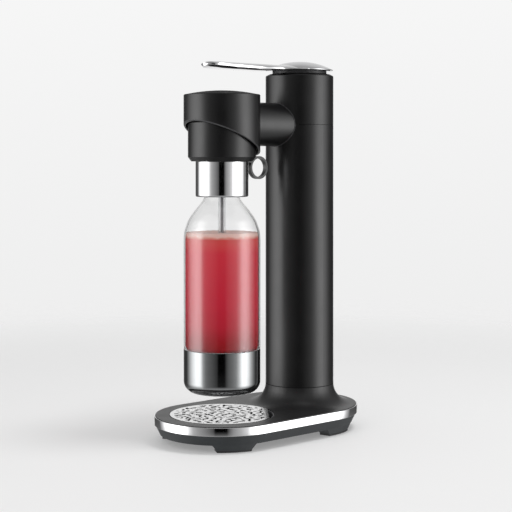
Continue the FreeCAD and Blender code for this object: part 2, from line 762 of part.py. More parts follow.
def make_valve_block():
    face = f"({SPINE_INNER} - seat)"
    raw = box("block_raw", ("-block_half_width", "block_half_width"),
              (f"{TOWER_Y} - tower_radius", f"{TOWER_Y} + block_rear"), ("block_low", "deck_low - seat"))
    barrel = cylinder("block_barrel", face, "block_low", "deck_low - seat", "0", TOWER_Y)
    bore = cylinder("block_bore", "thread_radius + running", "block_low", "bore_top", "0", TOWER_Y)
    way = cylinder("block_rod_way", "rod_radius + running", "block_low", "deck_low", "0", TOWER_Y)
    groove = cylinder("block_groove", "groove_radius", "groove_low", "groove_high", "0", TOWER_Y)
    inward = rod("block_gallery_top", "gallery_radius", "y", f"{TOWER_Y} - gallery_reach",
                 "gallery_reach", z="gallery_height")
    down = cylinder("block_gallery_down", "gallery_radius", "line_height", "gallery_height", "0",
                    f"{TOWER_Y} - gallery_reach")
    outward = rod("block_gallery_out", "gallery_radius", "y", f"{TOWER_Y} - tower_radius",
                  "tower_radius - gallery_reach", z="line_height")
    relief = rod("block_relief_way", "gallery_radius", "y", TOWER_Y, "block_rear + 1", z="relief_height")
    screw_ways = [cylinder(f"block_screw_way_{side}", "screw_radius + running", "deck_low - 9", "deck_low",
                           x, DECK_SCREW_Y) for side, x in DECK_SCREW_X]
    piece(cut("block", shared("block_shape", raw, barrel), bore, way, groove, inward, down, outward,
              relief, *screw_ways), "valve_block")
    piece(tube("rod_ring", "groove_radius - seat", "rod_radius + loose", "groove_low + seat",
               "groove_high - seat", TOWER_Y), "rod_seal")

    start = f"({TOWER_Y} + block_rear + seat)"
    body = rod("relief_body", "screw_head * 1.4", "y", start, "screw_head * 2", z="relief_height")
    stem = rod("relief_stem", "screw_head", "y", start, "screw_head * 3.2", z="relief_height")
    piece(joined("relief", body, stem), "relief_valve")


def spring_outline(low, high):
    """The folded wall of a stack of cupped spring washers: inner face upwards, outer face back down."""
    folds = int(DIMENSIONS["spring_folds"])
    inner = [(f"spring_inner + {fold % 2} * spring_swing", f"{low} + ({high} - {low}) * {fold} / spring_folds")
             for fold in range(folds + 1)]
    outer = [(f"{reach} + spring_wall", height) for reach, height in reversed(inner)]
    return outer + inner


def make_push_rod():
    head_low = "(core_disc_low - nose_radius - rod_head_thick)"
    piece(revolved("rod", [
        ("0", "pin_high + loose"), ("rod_radius", "pin_high + loose"), ("rod_radius", head_low),
        ("rod_head_radius", head_low), ("rod_head_radius", f"{head_low} + rod_head_thick"),
        ("0", f"{head_low} + rod_head_thick"),
    ], TOWER_Y), "push_rod")

    piece(revolved("spring", spring_outline(f"({DECK_TOP} + seat)", f"({head_low} - seat)"), TOWER_Y),
          "return_spring")


def make_gas_line():
    """A thin pipe from the valve block along the arm, with one bend down into the nozzle."""
    made = []
    start, end = value(f"{TOWER_Y} - {SPINE_INNER}"), value(BOTTLE_Y)
    height, bend, low = value("line_height"), value("line_bend"), value("line_low")
    corner = Vector(0, end + bend * (1 - math.sqrt(0.5)), height - bend * (1 - math.sqrt(0.5)))
    run = Part.LineSegment(Vector(0, start, height), Vector(0, end + bend, height))
    turn = Part.Arc(Vector(0, end + bend, height), corner, Vector(0, end, height - bend))
    drop = Part.LineSegment(Vector(0, end, height - bend), Vector(0, end, low))
    path = Part.Wire([run.toShape(), turn.toShape(), drop.toShape()])
    for radius in (value("line_radius"), value("line_bore")):
        section = Part.Wire(Part.makeCircle(radius, Vector(0, start, height), Vector(0, 1, 0)))
        made.append(path.makePipeShell([section], True, False))
    pipe = doc.addObject("Part::Feature", "pipe")
    pipe.Shape = made[0].cut(made[1])
    piece(pipe, "gas_line")


# ---------------------------------------------------------------- lever and its seat
PIVOT_Y = f"({TOWER_Y} + lever_pivot_back)"
DECK_SCREW_X = [("right", "block_half_width - 4"), ("left", "4 - block_half_width")]
DECK_SCREW_Y = f"({TOWER_Y} - nose_radius - 4)"


def make_deck():
    disc = cylinder("deck_disc", f"{TOWER_BORE} - loose", "deck_low", DECK_TOP, "0", TOWER_Y)
    way = cylinder("deck_way", "rod_radius + 1", "deck_low", DECK_TOP, "0", TOWER_Y)
    holes = [cylinder(f"deck_hole_{side}", "screw_radius + running", "deck_low", DECK_TOP, x, DECK_SCREW_Y)
             for side, x in DECK_SCREW_X]
    piece(cut("deck", disc, way, *holes), "tower_deck")

    screws = []
    for side, x in DECK_SCREW_X:
        head = cylinder(f"deck_screw_head_{side}", "screw_head - 0.4", f"{DECK_TOP} + seat",
                        f"{DECK_TOP} + seat + screw_head_high", x, DECK_SCREW_Y)
        shank = cylinder(f"deck_screw_shank_{side}", "screw_radius", "deck_low - 8", f"{DECK_TOP} + seat",
                         x, DECK_SCREW_Y)
        screws.append(joined(f"deck_screw_{side}", head, shank))
    piece(several("deck_screw_set", *screws), "deck_screws")

    inner, outer = "(core_boss_half + ear_gap)", "(core_boss_half + ear_gap + bracket_thick)"
    depth = (f"{PIVOT_Y} - bracket_depth", f"{PIVOT_Y} + bracket_depth - 0.6")
    base = box("bracket_base", (f"-{outer}", outer), depth,
               (f"{DECK_TOP} + seat", f"{DECK_TOP} + seat + bracket_plate"))
    ears = [box(f"bracket_ear_{side}", span, depth, (f"{DECK_TOP} + seat", "bracket_top"))
            for side, span in (("right", (inner, outer)), ("left", (f"-{outer}", f"-{inner}")))]
    way = rod("bracket_way", "lever_pin_radius + 0.02", "x", f"-{outer} - 1", f"2 * {outer} + 2",
              y=PIVOT_Y, z="lever_pivot_height")
    piece(cut("bracket", joined("bracket_whole", base, *ears), way), "lever_bracket")
    piece(rod("pivot", "lever_pin_radius", "x", f"-{outer} - 0.5", f"2 * {outer} + 1",
              y=PIVOT_Y, z="lever_pivot_height"), "lever_pin")


def make_lever():
    disc = cylinder("core_disc", "core_disc_radius", "core_disc_low", "lever_rim - seat", "0", TOWER_Y)
    nose = cylinder("core_nose", "nose_radius", "core_disc_low - nose_radius + loose", "core_disc_low",
                    "0", TOWER_Y)
    boss = box("core_boss", ("-core_boss_half", "core_boss_half"),
               (f"{PIVOT_Y} - core_boss_back", f"{PIVOT_Y} + core_boss_back"),
               ("core_boss_low", "core_disc_low"))
    way = rod("core_way", "lever_pin_radius + running", "x", "-core_boss_half - 1",
              "2 * core_boss_half + 2", y=PIVOT_Y, z="lever_pivot_height")
    piece(cut("core", joined("core_whole", disc, nose, boss), way), "lever_core")

    top = "(lever_rim + lever_rim_thick)"
    crown = revolved("lever_crown", [
        ("0", "lever_rim"), ("lever_radius", "lever_rim"), ("lever_radius", top), ("0", "lever_apex"),
    ], TOWER_Y, arcs={2: None})
    waist, tip = f"{TOWER_Y} - lever_waist", f"{TOWER_Y} - lever_reach"
    root = f"{TOWER_Y} - lever_root"
    bend = f"{tip} + lever_tip_half"
    side = prism("lever_side", [
        (tip, "lever_tip_low"), (bend, "lever_waist_low"), (waist, "lever_waist_low"),
        (f"{TOWER_Y} - lever_radius", "lever_rim"), (root, "lever_rim"), (root, "lever_waist_high"),
        (waist, "lever_waist_high"), (bend, "lever_tip_high"), (tip, "lever_tip_high - lever_tip_drop"),
    ], "2 * lever_root_half")
    body, sketch = new_body("lever_plan", "XY_Plane")
    outline(sketch, [
        ("-lever_tip_half", bend), ("lever_tip_half", bend), ("lever_waist_half", waist),
        ("lever_root_half", root), ("-lever_root_half", root), ("-lever_waist_half", waist),
    ])
    pad = body.newObject("PartDesign::Pad", "lever_plan_pad")
    pad.Profile = (sketch, [""])
    bind(pad, "Length", "lever_apex - lever_pivot_height")
    place(body, z="lever_pivot_height")
    tip_disc = cylinder("lever_tip_disc", "lever_tip_half", "lever_pivot_height", "lever_apex", "0", bend)
    handle = shared("lever_handle", side, joined("lever_plan_whole", body, tip_disc))
    piece(joined("lever_whole", crown, handle), "lever")


# ---------------------------------------------------------------- arm and head
def make_arm():
    start = f"{BOTTLE_Y} + head_radius / 2"
    length = f"axis_spacing - head_radius / 2 - tower_radius * 0.63"
    whole = rod("arm_whole", "arm_radius", "y", start, length, z="arm_height")
    bore = rod("arm_bore", "arm_radius - arm_wall", "y", start, length, z="arm_height")
    front = cylinder("arm_front", f"{HEAD_BORE} + seat", "arm_height - 30", "arm_height + 30", "0", BOTTLE_Y)
    rear = cylinder("arm_rear", f"{SPINE_OUTER} + seat", "arm_height - 30", "arm_height + 30", "0", TOWER_Y)
    piece(cut("arm", whole, bore, front, rear), "arm_tube")


def make_head():
    low = "(cut_middle - cut_fall - 2)"
    bell = revolved("bell", [
        ("head_radius", low), ("head_radius", "head_side_top"), ("0", "head_apex"),
        ("0", "head_apex - head_wall"), (HEAD_BORE, "head_side_top - head_wall"), (HEAD_BORE, low),
    ], BOTTLE_Y, rounds={1: "head_rim_round"}, arcs={1: None, 3: None})
    front, rear = f"{BOTTLE_Y} - head_radius * 1.2", f"{BOTTLE_Y} + head_radius * 1.2"
    slant = prism("bell_slant", [
        (front, f"{low} - 5"), (rear, f"{low} - 5"), (rear, "cut_middle - cut_fall * 1.2"),
        (front, "cut_middle + cut_fall * 1.2"),
    ], "head_radius * 2.4")
    hole = arm_hole("bell_arm_hole", f"{BOTTLE_Y} + head_radius / 2", "seat")
    pin_way = rod("bell_pin_way", "carrier_pin_radius + running", "x", "-carrier_pin_reach - loose",
                  "2 * (carrier_pin_reach + loose)", y=BOTTLE_Y, z="tilt_height")
    piece(cut("bell_cut", bell, slant, hole, pin_way), "head_shell")


def make_carrier():
    """The plate the cap is held against; it hangs on two pins so that the bottle can tilt forwards."""
    top = "(carrier_low + carrier_thick)"
    plate = cylinder("carrier_plate", "carrier_radius", "carrier_low", top, "0", BOTTLE_Y)
    skirt = tube("carrier_skirt", "cap_radius + loose + carrier_wall", "cap_radius + loose",
                 "carrier_wall_low", top, BOTTLE_Y)
    span = box("carrier_skirt_span", ("-head_radius", "head_radius"),
               (f"{BOTTLE_Y} - carrier_front", f"{BOTTLE_Y} + carrier_rear"), ("carrier_wall_low", top))
    inner, outer = "(carrier_ear_reach - carrier_ear_thick)", "carrier_ear_reach"
    depth = (f"{BOTTLE_Y} - carrier_ear_half", f"{BOTTLE_Y} + carrier_ear_half")
    sides = (("right", (inner, outer), inner), ("left", (f"-{outer}", f"-{inner}"), "-carrier_pin_reach"))
    ears = [box(f"carrier_ear_{side}", span_x, depth, (f"{top} - seat", "carrier_ear_high"))
            for side, span_x, start in sides]
    way = cylinder("carrier_way", "nozzle_radius + running", "carrier_low", top, "0", BOTTLE_Y)
    pin_way = rod("carrier_pin_way", "carrier_pin_radius + 0.02", "x", "-head_radius", "2 * head_radius",
                  y=BOTTLE_Y, z="tilt_height")
    whole = joined("carrier_whole", plate, shared("carrier_walls", skirt, span), *ears)
    piece(cut("carrier", whole, way, pin_way), "cap_carrier")
    pins = [rod(f"carrier_pin_{side}", "carrier_pin_radius", "x", start, f"carrier_pin_reach - {inner}",
                y=BOTTLE_Y, z="tilt_height") for side, span_x, start in sides]
    piece(several("carrier_pin_set", *pins), "carrier_pins")

    step, high = f"({top} + seat)", "nozzle_high"
    piece(revolved("nozzle", [
        ("line_bore", "carrier_low - seat"), ("nozzle_radius", "carrier_low - seat"), ("nozzle_radius", step),
        ("nozzle_flange", step), ("nozzle_flange", high), ("nozzle_cup", high),
        ("nozzle_cup", f"{step} + nozzle_floor"), ("line_bore", f"{step} + nozzle_floor"),
    ], BOTTLE_Y), "gas_nozzle")
    piece(tube("boot", "nozzle_cup - 2 * seat", "line_radius + loose", "line_low", "line_low + boot_thick",
               BOTTLE_Y), "line_boot")
    piece(tube("face_seal", "nozzle_radius - seat", "line_radius", "cap_high + loose",
               "carrier_low - 2 * seat", BOTTLE_Y), "nozzle_seal")


# ---------------------------------------------------------------- cap
def make_cap():
    shell = revolved("cap_shell", [
        ("cap_hole", "cap_low"), ("cap_radius - cap_chamfer", "cap_low"),
        ("cap_radius", "cap_low + cap_chamfer_high"), ("cap_radius", "cap_high"),
        ("port_radius + seat", "cap_high"), ("port_radius + seat", "cap_high - cap_top_wall"),
        ("cap_radius - cap_wall", "cap_high - cap_top_wall"), ("cap_radius - cap_wall", "cap_low + cap_wall"),
        ("cap_hole", "cap_low + cap_wall"),
    ], BOTTLE_Y, rounds={3: "cap_top_round"})
    slot_half = "(lug_thick / 2 + 0.4)"
    slot = box("cap_heel_slot", (f"-{slot_half}", slot_half),
               (f"{BOTTLE_Y} + pivot_reach - heel_reach - 1", f"{BOTTLE_Y} + pivot_reach + 5"),
               ("cap_low - 3", "pivot_height + heel_reach / 2 + 1.4"))
    ears = [box(f"cap_ear_{side}", span, (f"{BOTTLE_Y} + pivot_reach - 6", f"{BOTTLE_Y} + pivot_reach + 2.4"),
                ("pivot_height - 2.6", "pivot_height + 2.6"))
            for side, span in (("right", (slot_half, f"{slot_half} + ear_thick")),
                               ("left", (f"-{slot_half} - ear_thick", f"-{slot_half}")))]
    pin_way = rod("cap_pin_way", "pivot_radius + 0.02", "x", f"-{slot_half} - ear_thick - 1",
                  f"2 * ({slot_half} + ear_thick) + 2", y=f"{BOTTLE_Y} + pivot_reach", z="pivot_height")
    piece(cut("cap_cut", joined("cap_whole", shell, *ears), slot, pin_way), "cap_body")
    piece(rod("ring_pivot", "pivot_radius", "x", f"-{slot_half} - ear_thick", f"2 * ({slot_half} + ear_thick)",
              y=f"{BOTTLE_Y} + pivot_reach", z="pivot_height"), "ring_pin")

    bore = "(collar_radius - collar_wall)"
    lip = "(collar_radius - collar_lip)"
    piece(revolved("collar", [
        (lip, "collar_low"), ("collar_radius", "collar_low"), ("collar_radius", "cap_low - seat"),
        (bore, "cap_low - seat"), (bore, "collar_low + 1.5"), (lip, "collar_low + 1.5"),
    ], BOTTLE_Y, rounds={1: "collar_round"}), "cap_collar")

    thread_bore = "(neck_radius + thread_depth + loose)"
    piece(revolved("insert", [
        (thread_bore, "insert_low"), (f"{bore} - seat", "insert_low"), (f"{bore} - seat", "cap_low - seat"),
        ("holder_radius + seat", "cap_low - seat"), ("holder_radius + seat", "insert_top"),
        (thread_bore, "insert_top"),
    ], BOTTLE_Y), "cap_insert")
    piece(tube("gasket", f"{thread_bore} - loose", "neck_radius - neck_wall", "neck_high + loose",
               "insert_top - seat", BOTTLE_Y), "neck_gasket")
    piece(tube("core_tube", "core_radius", "port_radius + seat", "cap_low", "cap_high - cap_top_wall - seat",
               BOTTLE_Y), "cap_core")
    piece(tube("port", "port_radius", "wand_radius + seat", "cap_low + 1", "cap_high", BOTTLE_Y), "inlet_port")


def make_wand():
    piece(tube("holder", "holder_radius", "sheath_radius + running", "holder_low", "cap_low - 2 * seat",
               BOTTLE_Y), "wand_holder")
    piece(tube("sheath", "sheath_radius", "sheath_bore", "wand_low + tip_height + seat", "cap_low - 1",
               BOTTLE_Y), "wand_sheath")
    piece(tube("wand", "wand_radius", "wand_bore", "wand_low + tip_height / 2", "wand_high", BOTTLE_Y),
          "wand_tube")
    seat = "(wand_radius + seat)"
    piece(revolved("tip", [
        ("wand_bore", "wand_low"), ("sheath_radius", "wand_low + 1.5"),
        ("sheath_radius", "wand_low + tip_height"),
        (seat, "wand_low + tip_height"), (seat, "wand_low + tip_height / 2 - seat"),
        ("wand_bore", "wand_low + tip_height / 2 - seat"),
    ], BOTTLE_Y), "wand_tip")


def make_release():
    ring_y, pivot_y = f"({BOTTLE_Y} + ring_reach)", f"({BOTTLE_Y} + pivot_reach)"
    loop = rod("loop", "ring_radius", "x", "-ring_thick / 2", "ring_thick", y=ring_y, z="ring_height")
    hole = rod("loop_hole", "ring_hole", "x", "-ring_thick", "ring_thick * 2", y=ring_y, z="ring_height")
    boss = rod("loop_boss", "2 * pivot_radius", "x", "-lug_thick / 2", "lug_thick", y=pivot_y, z="pivot_height")
    heel = box("loop_heel", ("-lug_thick / 2", "lug_thick / 2"), (f"{pivot_y} - heel_reach", pivot_y),
               ("pivot_height - heel_thick / 2", "pivot_height + heel_thick / 2"))
    across = "sqrt(pow(ring_reach - pivot_reach; 2) + pow(pivot_height - ring_height; 2))"
    lean = math.degrees(math.atan2(value("pivot_height - ring_height"), value("ring_reach - pivot_reach")))
    lug = box("loop_lug", ("-lug_thick / 2", "lug_thick / 2"), ("0", f"{across} - ring_hole - 0.5"),
              ("0", "4 * pivot_radius"))
    lug.Placement.Rotation = FreeCAD.Rotation(Vector(1, 0, 0), -lean)
    share_y, share_z = f"(ring_reach - pivot_reach) / {across}", f"(pivot_height - ring_height) / {across}"
    place(lug, "-lug_thick / 2", f"{pivot_y} - 2 * pivot_radius * {share_z}",
          f"pivot_height - 2 * pivot_radius * {share_y}")
    way = rod("loop_way", "pivot_radius + running", "x", "-lug_thick", "lug_thick * 2", y=pivot_y,
              z="pivot_height")
    whole = joined("loop_whole", cut("loop_open", loop, hole), boss, heel, lug)
    piece(cut("loop_cut", whole, way), "release_ring")

    poppet_y = f"({BOTTLE_Y} + poppet_reach)"
    low = "(pivot_height + heel_thick / 2 + loose)"
    piece(cylinder("poppet", "poppet_radius", low, f"{low} + poppet_length", "0", poppet_y), "relief_poppet")
    piece(tube("housing", "housing_radius", "poppet_radius + running", "housing_low", "housing_high",
               poppet_y), "relief_housing")


# ---------------------------------------------------------------- bottle
def make_bottle():
    lower_radius = "(bottle_radius - sleeve_wall - 2 * seat)"
    low = "(bottle_low + sleeve_wall + loose)"
    step = "(sleeve_high + seat)"

    def dome(name, inset):
        made = doc.addObject("Part::Ellipsoid", name)
        bind(made, "Radius1", f"shoulder_rise - {inset}")
        bind(made, "Radius2", f"bottle_radius - {inset}")
        made.Angle1 = 0
        return place(made, y=BOTTLE_Y, z="shoulder_base")

    outside = revolved("bottle_outside", [
        ("0", low), (lower_radius, low), (lower_radius, step), ("bottle_radius", step),
        ("bottle_radius", "shoulder_base"), ("0", "shoulder_base"),
    ], BOTTLE_Y, rounds={1: "sleeve_round - sleeve_wall - 2 * seat"})
    neck = cylinder("bottle_neck", "neck_radius", "shoulder_base + shoulder_rise / 2", "neck_high",
                    "0", BOTTLE_Y)
    threads = [tube(f"bottle_thread_{number}", "neck_radius + thread_depth", "neck_radius - 1",
                    f"neck_high - {drop + 2}", f"neck_high - {drop}", BOTTLE_Y)
               for number, drop in enumerate((8, 14))]
    inner_low = f"({low} + bottle_wall)"
    inside = revolved("bottle_inside", [
        ("0", inner_low), (f"{lower_radius} - bottle_wall", inner_low),
        (f"{lower_radius} - bottle_wall", f"{step} - 1"),
        ("bottle_radius - bottle_wall", f"{step} + bottle_wall"),
        ("bottle_radius - bottle_wall", "shoulder_base"), ("0", "shoulder_base"),
    ], BOTTLE_Y, rounds={1: "sleeve_round - sleeve_wall - 2 * seat - bottle_wall"})
    bore = cylinder("bottle_bore", "neck_radius - neck_wall", "shoulder_base", "neck_high + 1", "0", BOTTLE_Y)
    whole = joined("bottle_whole", outside, dome("bottle_dome", "0"), neck, *threads)
    space = joined("bottle_space", inside, dome("bottle_dome_inside", "bottle_wall"), bore)
    piece(cut("bottle_cut", whole, space), "bottle")

    bore = "(bottle_radius - sleeve_wall)"
    floor = "(bottle_low + sleeve_wall)"
    piece(revolved("sleeve", [
        ("0", "bottle_low"), ("bottle_radius", "bottle_low"), ("bottle_radius", "sleeve_high"),
        (bore, "sleeve_high"), (bore, floor), ("0", floor),
    ], BOTTLE_Y, rounds={1: "sleeve_round", 4: "sleeve_round - sleeve_wall"}), "bottle_sleeve")

    way = "(sheath_radius + loose)"
    reach = "(bottle_radius - bottle_wall - 2 * seat)"
    low_reach = f"({lower_radius} - bottle_wall - 2 * seat)"

    def filled(height):
        """How far the liquid reaches at a height: it follows the inside of the shoulder."""
        rise = f"(max({height} - shoulder_base; 0) / (shoulder_rise - bottle_wall))"
        return f"({reach} * sqrt(1 - {rise} * {rise}))"

    piece(revolved("liquid", [
        ("0", f"{inner_low} + seat"), (low_reach, f"{inner_low} + seat"), (low_reach, f"{step} - 1"),
        (reach, f"{step} + bottle_wall"), (reach, "min(shoulder_base; drink_high - 1)"),
        (filled("drink_high"), "drink_high"), (way, "drink_high"),
        (way, "wand_low - 1.5"), ("0", "wand_low - 1.5"),
    ], BOTTLE_Y, rounds={1: "sleeve_round - sleeve_wall - 4 * seat - bottle_wall"}), "drink")
    foam_low = "drink_high + seat"
    piece(revolved("froth", [
        (way, foam_low), (filled(foam_low), foam_low), (filled("foam_high"), "foam_high"), (way, "foam_high"),
    ], BOTTLE_Y), "foam")


# ---------------------------------------------------------------- build, check, write
def build_everything():
    make_base()
    make_base_cover()
    make_drip_tray()
    make_tower()
    make_rear_cover()
    make_gas_cylinder()
    make_valve_block()
    make_push_rod()
    make_gas_line()
    make_deck()
    make_lever()
    make_arm()
    make_head()
    make_carrier()
    make_cap()
    make_wand()
    make_release()
    make_bottle()
    doc.recompute()


def check_everything():
    """Stops on any failed object, and on any sub-part without a sound solid."""
    failed = [thing.Name for thing in doc.Objects if {"Invalid", "Error"} & set(thing.State)]
    if failed:
        raise RuntimeError(f"these objects failed: {failed}")
    for made in pieces:
        shape = made.Shape
        if shape.isNull() or not shape.isValid() or not shape.Solids:
            raise RuntimeError(f"{made.Label} has no sound solid")


def write_everything():
    os.makedirs("parts", exist_ok=True)
    for made in pieces:
        made.Shape.exportStep(os.path.join("parts", f"{made.Label}.step"))
        print(f"{made.Label}: {len(made.Shape.Solids)} solid(s), {made.Shape.Volume / 1000:.2f} cm3")


build_everything()
check_everything()
write_everything()
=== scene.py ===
"""Looks of the soda carbonator: finishes for the CAD nodes, detailed pieces for the surfaces that
show most, and a plain studio. Metres, in the CAD frame: -Y is the front, +Z up.
"""
import json
import math

import bmesh
import bpy
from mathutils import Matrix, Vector, noise


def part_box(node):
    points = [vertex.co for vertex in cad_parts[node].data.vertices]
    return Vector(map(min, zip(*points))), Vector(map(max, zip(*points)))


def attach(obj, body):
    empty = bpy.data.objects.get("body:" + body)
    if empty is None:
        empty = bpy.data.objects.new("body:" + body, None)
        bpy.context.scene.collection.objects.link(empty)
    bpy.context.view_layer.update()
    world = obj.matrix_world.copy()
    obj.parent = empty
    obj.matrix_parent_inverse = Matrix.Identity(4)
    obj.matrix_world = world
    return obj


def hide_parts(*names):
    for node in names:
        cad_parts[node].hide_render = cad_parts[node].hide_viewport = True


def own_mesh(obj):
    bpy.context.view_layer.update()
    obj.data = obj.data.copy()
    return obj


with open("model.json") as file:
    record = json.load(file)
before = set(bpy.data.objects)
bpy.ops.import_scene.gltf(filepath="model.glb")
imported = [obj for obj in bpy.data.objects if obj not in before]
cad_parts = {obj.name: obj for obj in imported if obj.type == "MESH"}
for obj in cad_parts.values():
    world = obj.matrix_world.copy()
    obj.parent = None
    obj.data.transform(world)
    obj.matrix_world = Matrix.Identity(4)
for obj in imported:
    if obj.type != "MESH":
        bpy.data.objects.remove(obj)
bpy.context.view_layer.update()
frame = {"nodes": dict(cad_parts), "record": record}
nodes = frame["nodes"]
scene = bpy.context.scene
MM = 0.001


# ---------------------------------------------------------------- where things are
def span(node):
    """A round node's radius, the y of its axis, its lowest and its highest height."""
    low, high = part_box(node)
    return (high[0] - low[0]) / 2, (low[1] + high[1]) / 2, low[2], high[2]


TOWER_RADIUS, TOWER_Y = span("tower_upper_shell")[:2]
BOTTLE_RADIUS, BOTTLE_Y, SLEEVE_LOW, SLEEVE_HIGH = span("bottle_sleeve")
BOTTLE_LOW, BOTTLE_HIGH = span("bottle")[2:]


# ---------------------------------------------------------------- shader nodes
def node_link(tree, kind, inputs=None, **settings):
    """A shader node with its inputs set, or joined when the value is another node's socket."""
    made = tree.nodes.new(kind)
    for key, setting in settings.items():
        setattr(made, key, setting)
    for key, setting in (inputs or {}).items():
        if isinstance(setting, bpy.types.NodeSocket):
            tree.links.new(setting, made.inputs[key])
        else:
            made.inputs[key].default_value = setting
    return made


def new_shader(name):
    """A new material, its node tree and its Principled shader."""
    mat = bpy.data.materials.new(name)
    mat.use_nodes = True
    return mat, mat.node_tree, mat.node_tree.nodes["Principled BSDF"]


def set_sockets(shader, settings):
    """Sets sockets of the shader itself; an underscore in a key stands for a space."""
    for key, setting in settings.items():
        shader.inputs[key.replace("_", " ")].default_value = setting


def object_place(tree):
    """A point's place on the object, and its height."""
    coords = tree.nodes.new("ShaderNodeTexCoord").outputs["Object"]
    return coords, node_link(tree, "ShaderNodeSeparateXYZ", {"Vector": coords}).outputs["Z"]


def ramp(tree, factor, stops):
    """A colour ramp through (position, colour) stops; a plain number is a grey."""
    made = node_link(tree, "ShaderNodeValToRGB", {"Fac": factor})
    band = made.color_ramp
    while len(band.elements) > 1:
        band.elements.remove(band.elements[-1])
    for index, (position, colour) in enumerate(stops):
        if not isinstance(colour, tuple):
            colour = (colour, colour, colour)
        element = band.elements[0] if index == 0 else band.elements.new(position)
        element.position = position
        element.color = (*colour, 1)
    return made.outputs["Color"]


def share_between(tree, value, low, high, **settings):
    """How far a value has come from low to high, from 0 to 1."""
    return node_link(tree, "ShaderNodeMapRange", {"Value": value, "From Min": low, "From Max": high},
                     **settings).outputs[0]


def noise_value(tree, coords, scale, detail):
    return node_link(tree, "ShaderNodeTexNoise",
                     {"Vector": coords, "Scale": scale, "Detail": detail}).outputs["Fac"]


def mix_colours(tree, factor, first, second):
    """Two colours mixed. The Mix node's colour sockets are 6 and 7, and the mixed colour is output 2."""
    return node_link(tree, "ShaderNodeMix", {"Factor": factor, 6: first, 7: second},
                     data_type="RGBA").outputs[2]


def add_relief(tree, shader, height, strength, distance):
    relief = node_link(tree, "ShaderNodeBump",
                       {"Height": height, "Strength": strength, "Distance": distance})
    tree.links.new(relief.outputs[0], shader.inputs["Normal"])


# ---------------------------------------------------------------- materials
NOISE_LOW, NOISE_HIGH = 0.3, 0.7  # nearly all of a noise's values lie between these
GLOSSIEST = 0.02


def finish(name, colour, roughness, spread=0.12, rough_spread=0.06, scale=60, stretch=(1, 1, 1),
           grain=900, bump=0.05, **sockets):
    """A moulded, cast or rolled surface: slow changes of tone and gloss over a fine grain."""
    mat, tree, shader = new_shader(name)
    coords = tree.nodes.new("ShaderNodeTexCoord").outputs["Object"]
    where = node_link(tree, "ShaderNodeMapping", {"Vector": coords, "Scale": stretch}).outputs[0]
    slow = noise_value(tree, where, scale, 4.0)
    dark = tuple(c * (1 - spread) for c in colour)
    pale = tuple(min(1.0, c * (1 + spread)) for c in colour)
    tone = ramp(tree, slow, [(NOISE_LOW, dark), (NOISE_HIGH, pale)])
    tree.links.new(tone, shader.inputs["Base Color"])
    gloss = node_link(tree, "ShaderNodeMapRange", {
        "Value": slow, "From Min": NOISE_LOW, "From Max": NOISE_HIGH,
        "To Min": max(GLOSSIEST, roughness - rough_spread), "To Max": roughness + rough_spread})
    tree.links.new(gloss.outputs[0], shader.inputs["Roughness"])
    add_relief(tree, shader, noise_value(tree, where, grain, 3.0), bump, 0.2 * MM)
    set_sockets(shader, sockets)
    return mat


def drink_material(name):
    """Red soft drink: cloudy, with painted shade that darkens it towards the foot, paler under the foam, with
    specks of gas.
    """
    mat, tree, shader = new_shader(name)
    coords, height = object_place(tree)
    # painted shade: the red darkens towards the foot as shade would, and turns paler just under the foam
    painted_shade_tone = ramp(tree, share_between(tree, height, 0.10, 0.22), [
        (0.0, (0.28, 0.010, 0.014)), (0.11, (0.38, 0.012, 0.020)), (0.25, (0.56, 0.020, 0.042)),
        (0.47, (0.64, 0.024, 0.052)), (0.9, (0.70, 0.040, 0.064)), (1.0, (0.74, 0.085, 0.085))])
    cells = node_link(tree, "ShaderNodeTexVoronoi", {"Vector": coords, "Scale": 420.0, "Randomness": 1.0})
    speck = ramp(tree, cells.outputs["Distance"], [(0.0, 1.0), (0.16, 0.0)])
    some = ramp(tree, noise_value(tree, coords, 120.0, 2.0), [(0.55, 0.0), (0.68, 0.55)])
    amount = node_link(tree, "ShaderNodeMath", {0: speck, 1: some}, operation="MULTIPLY").outputs[0]
    speck_colour = (0.95, 0.45, 0.42, 1)
    tree.links.new(mix_colours(tree, amount, painted_shade_tone, speck_colour), shader.inputs["Base Color"])
    set_sockets(shader, {"Roughness": 0.4, "Specular_IOR_Level": 0.05, "Subsurface_Weight": 0.35,
                         "Subsurface_Radius": (0.012, 0.003, 0.003), "Subsurface_Scale": 1.0})
    return mat


def foam_material(name):
    """Pale froth of small bubbles, pinker below."""
    low, high = span("foam")[2:]
    mat, tree, shader = new_shader(name)
    coords, height = object_place(tree)
    up = share_between(tree, height, low - 0.1 * MM, high - 0.2 * MM)
    mixed = node_link(tree, "ShaderNodeMath", {0: up, 1: noise_value(tree, coords, 160.0, 3.0)},
                      operation="ADD").outputs[0]
    tone = ramp(tree, mixed, [
        (0.35, (0.74, 0.13, 0.12)), (0.75, (0.80, 0.34, 0.27)), (1.0, (0.86, 0.56, 0.50))])
    tree.links.new(tone, shader.inputs["Base Color"])
    cells = node_link(tree, "ShaderNodeTexVoronoi", {"Vector": coords, "Scale": 700.0})
    add_relief(tree, shader, cells.outputs["Distance"], 0.6, 0.5 * MM)
    set_sockets(shader, {"Roughness": 0.5, "Specular_IOR_Level": 0.1, "Subsurface_Weight": 0.3,
                         "Subsurface_Radius": (0.004, 0.002, 0.002), "Subsurface_Scale": 1.0})
    return mat


METAL = dict(Metallic=1.0)
MIRROR = dict(METAL, spread=0.02, rough_spread=0.02, scale=25, stretch=(1, 1, 6), bump=0.01)
CLEAR = dict(Transmission_Weight=1.0, IOR=1.02, bump=0.004)
COATED = dict(Coat_Weight=1.0, Coat_IOR=1.75, Coat_Roughness=0.06)

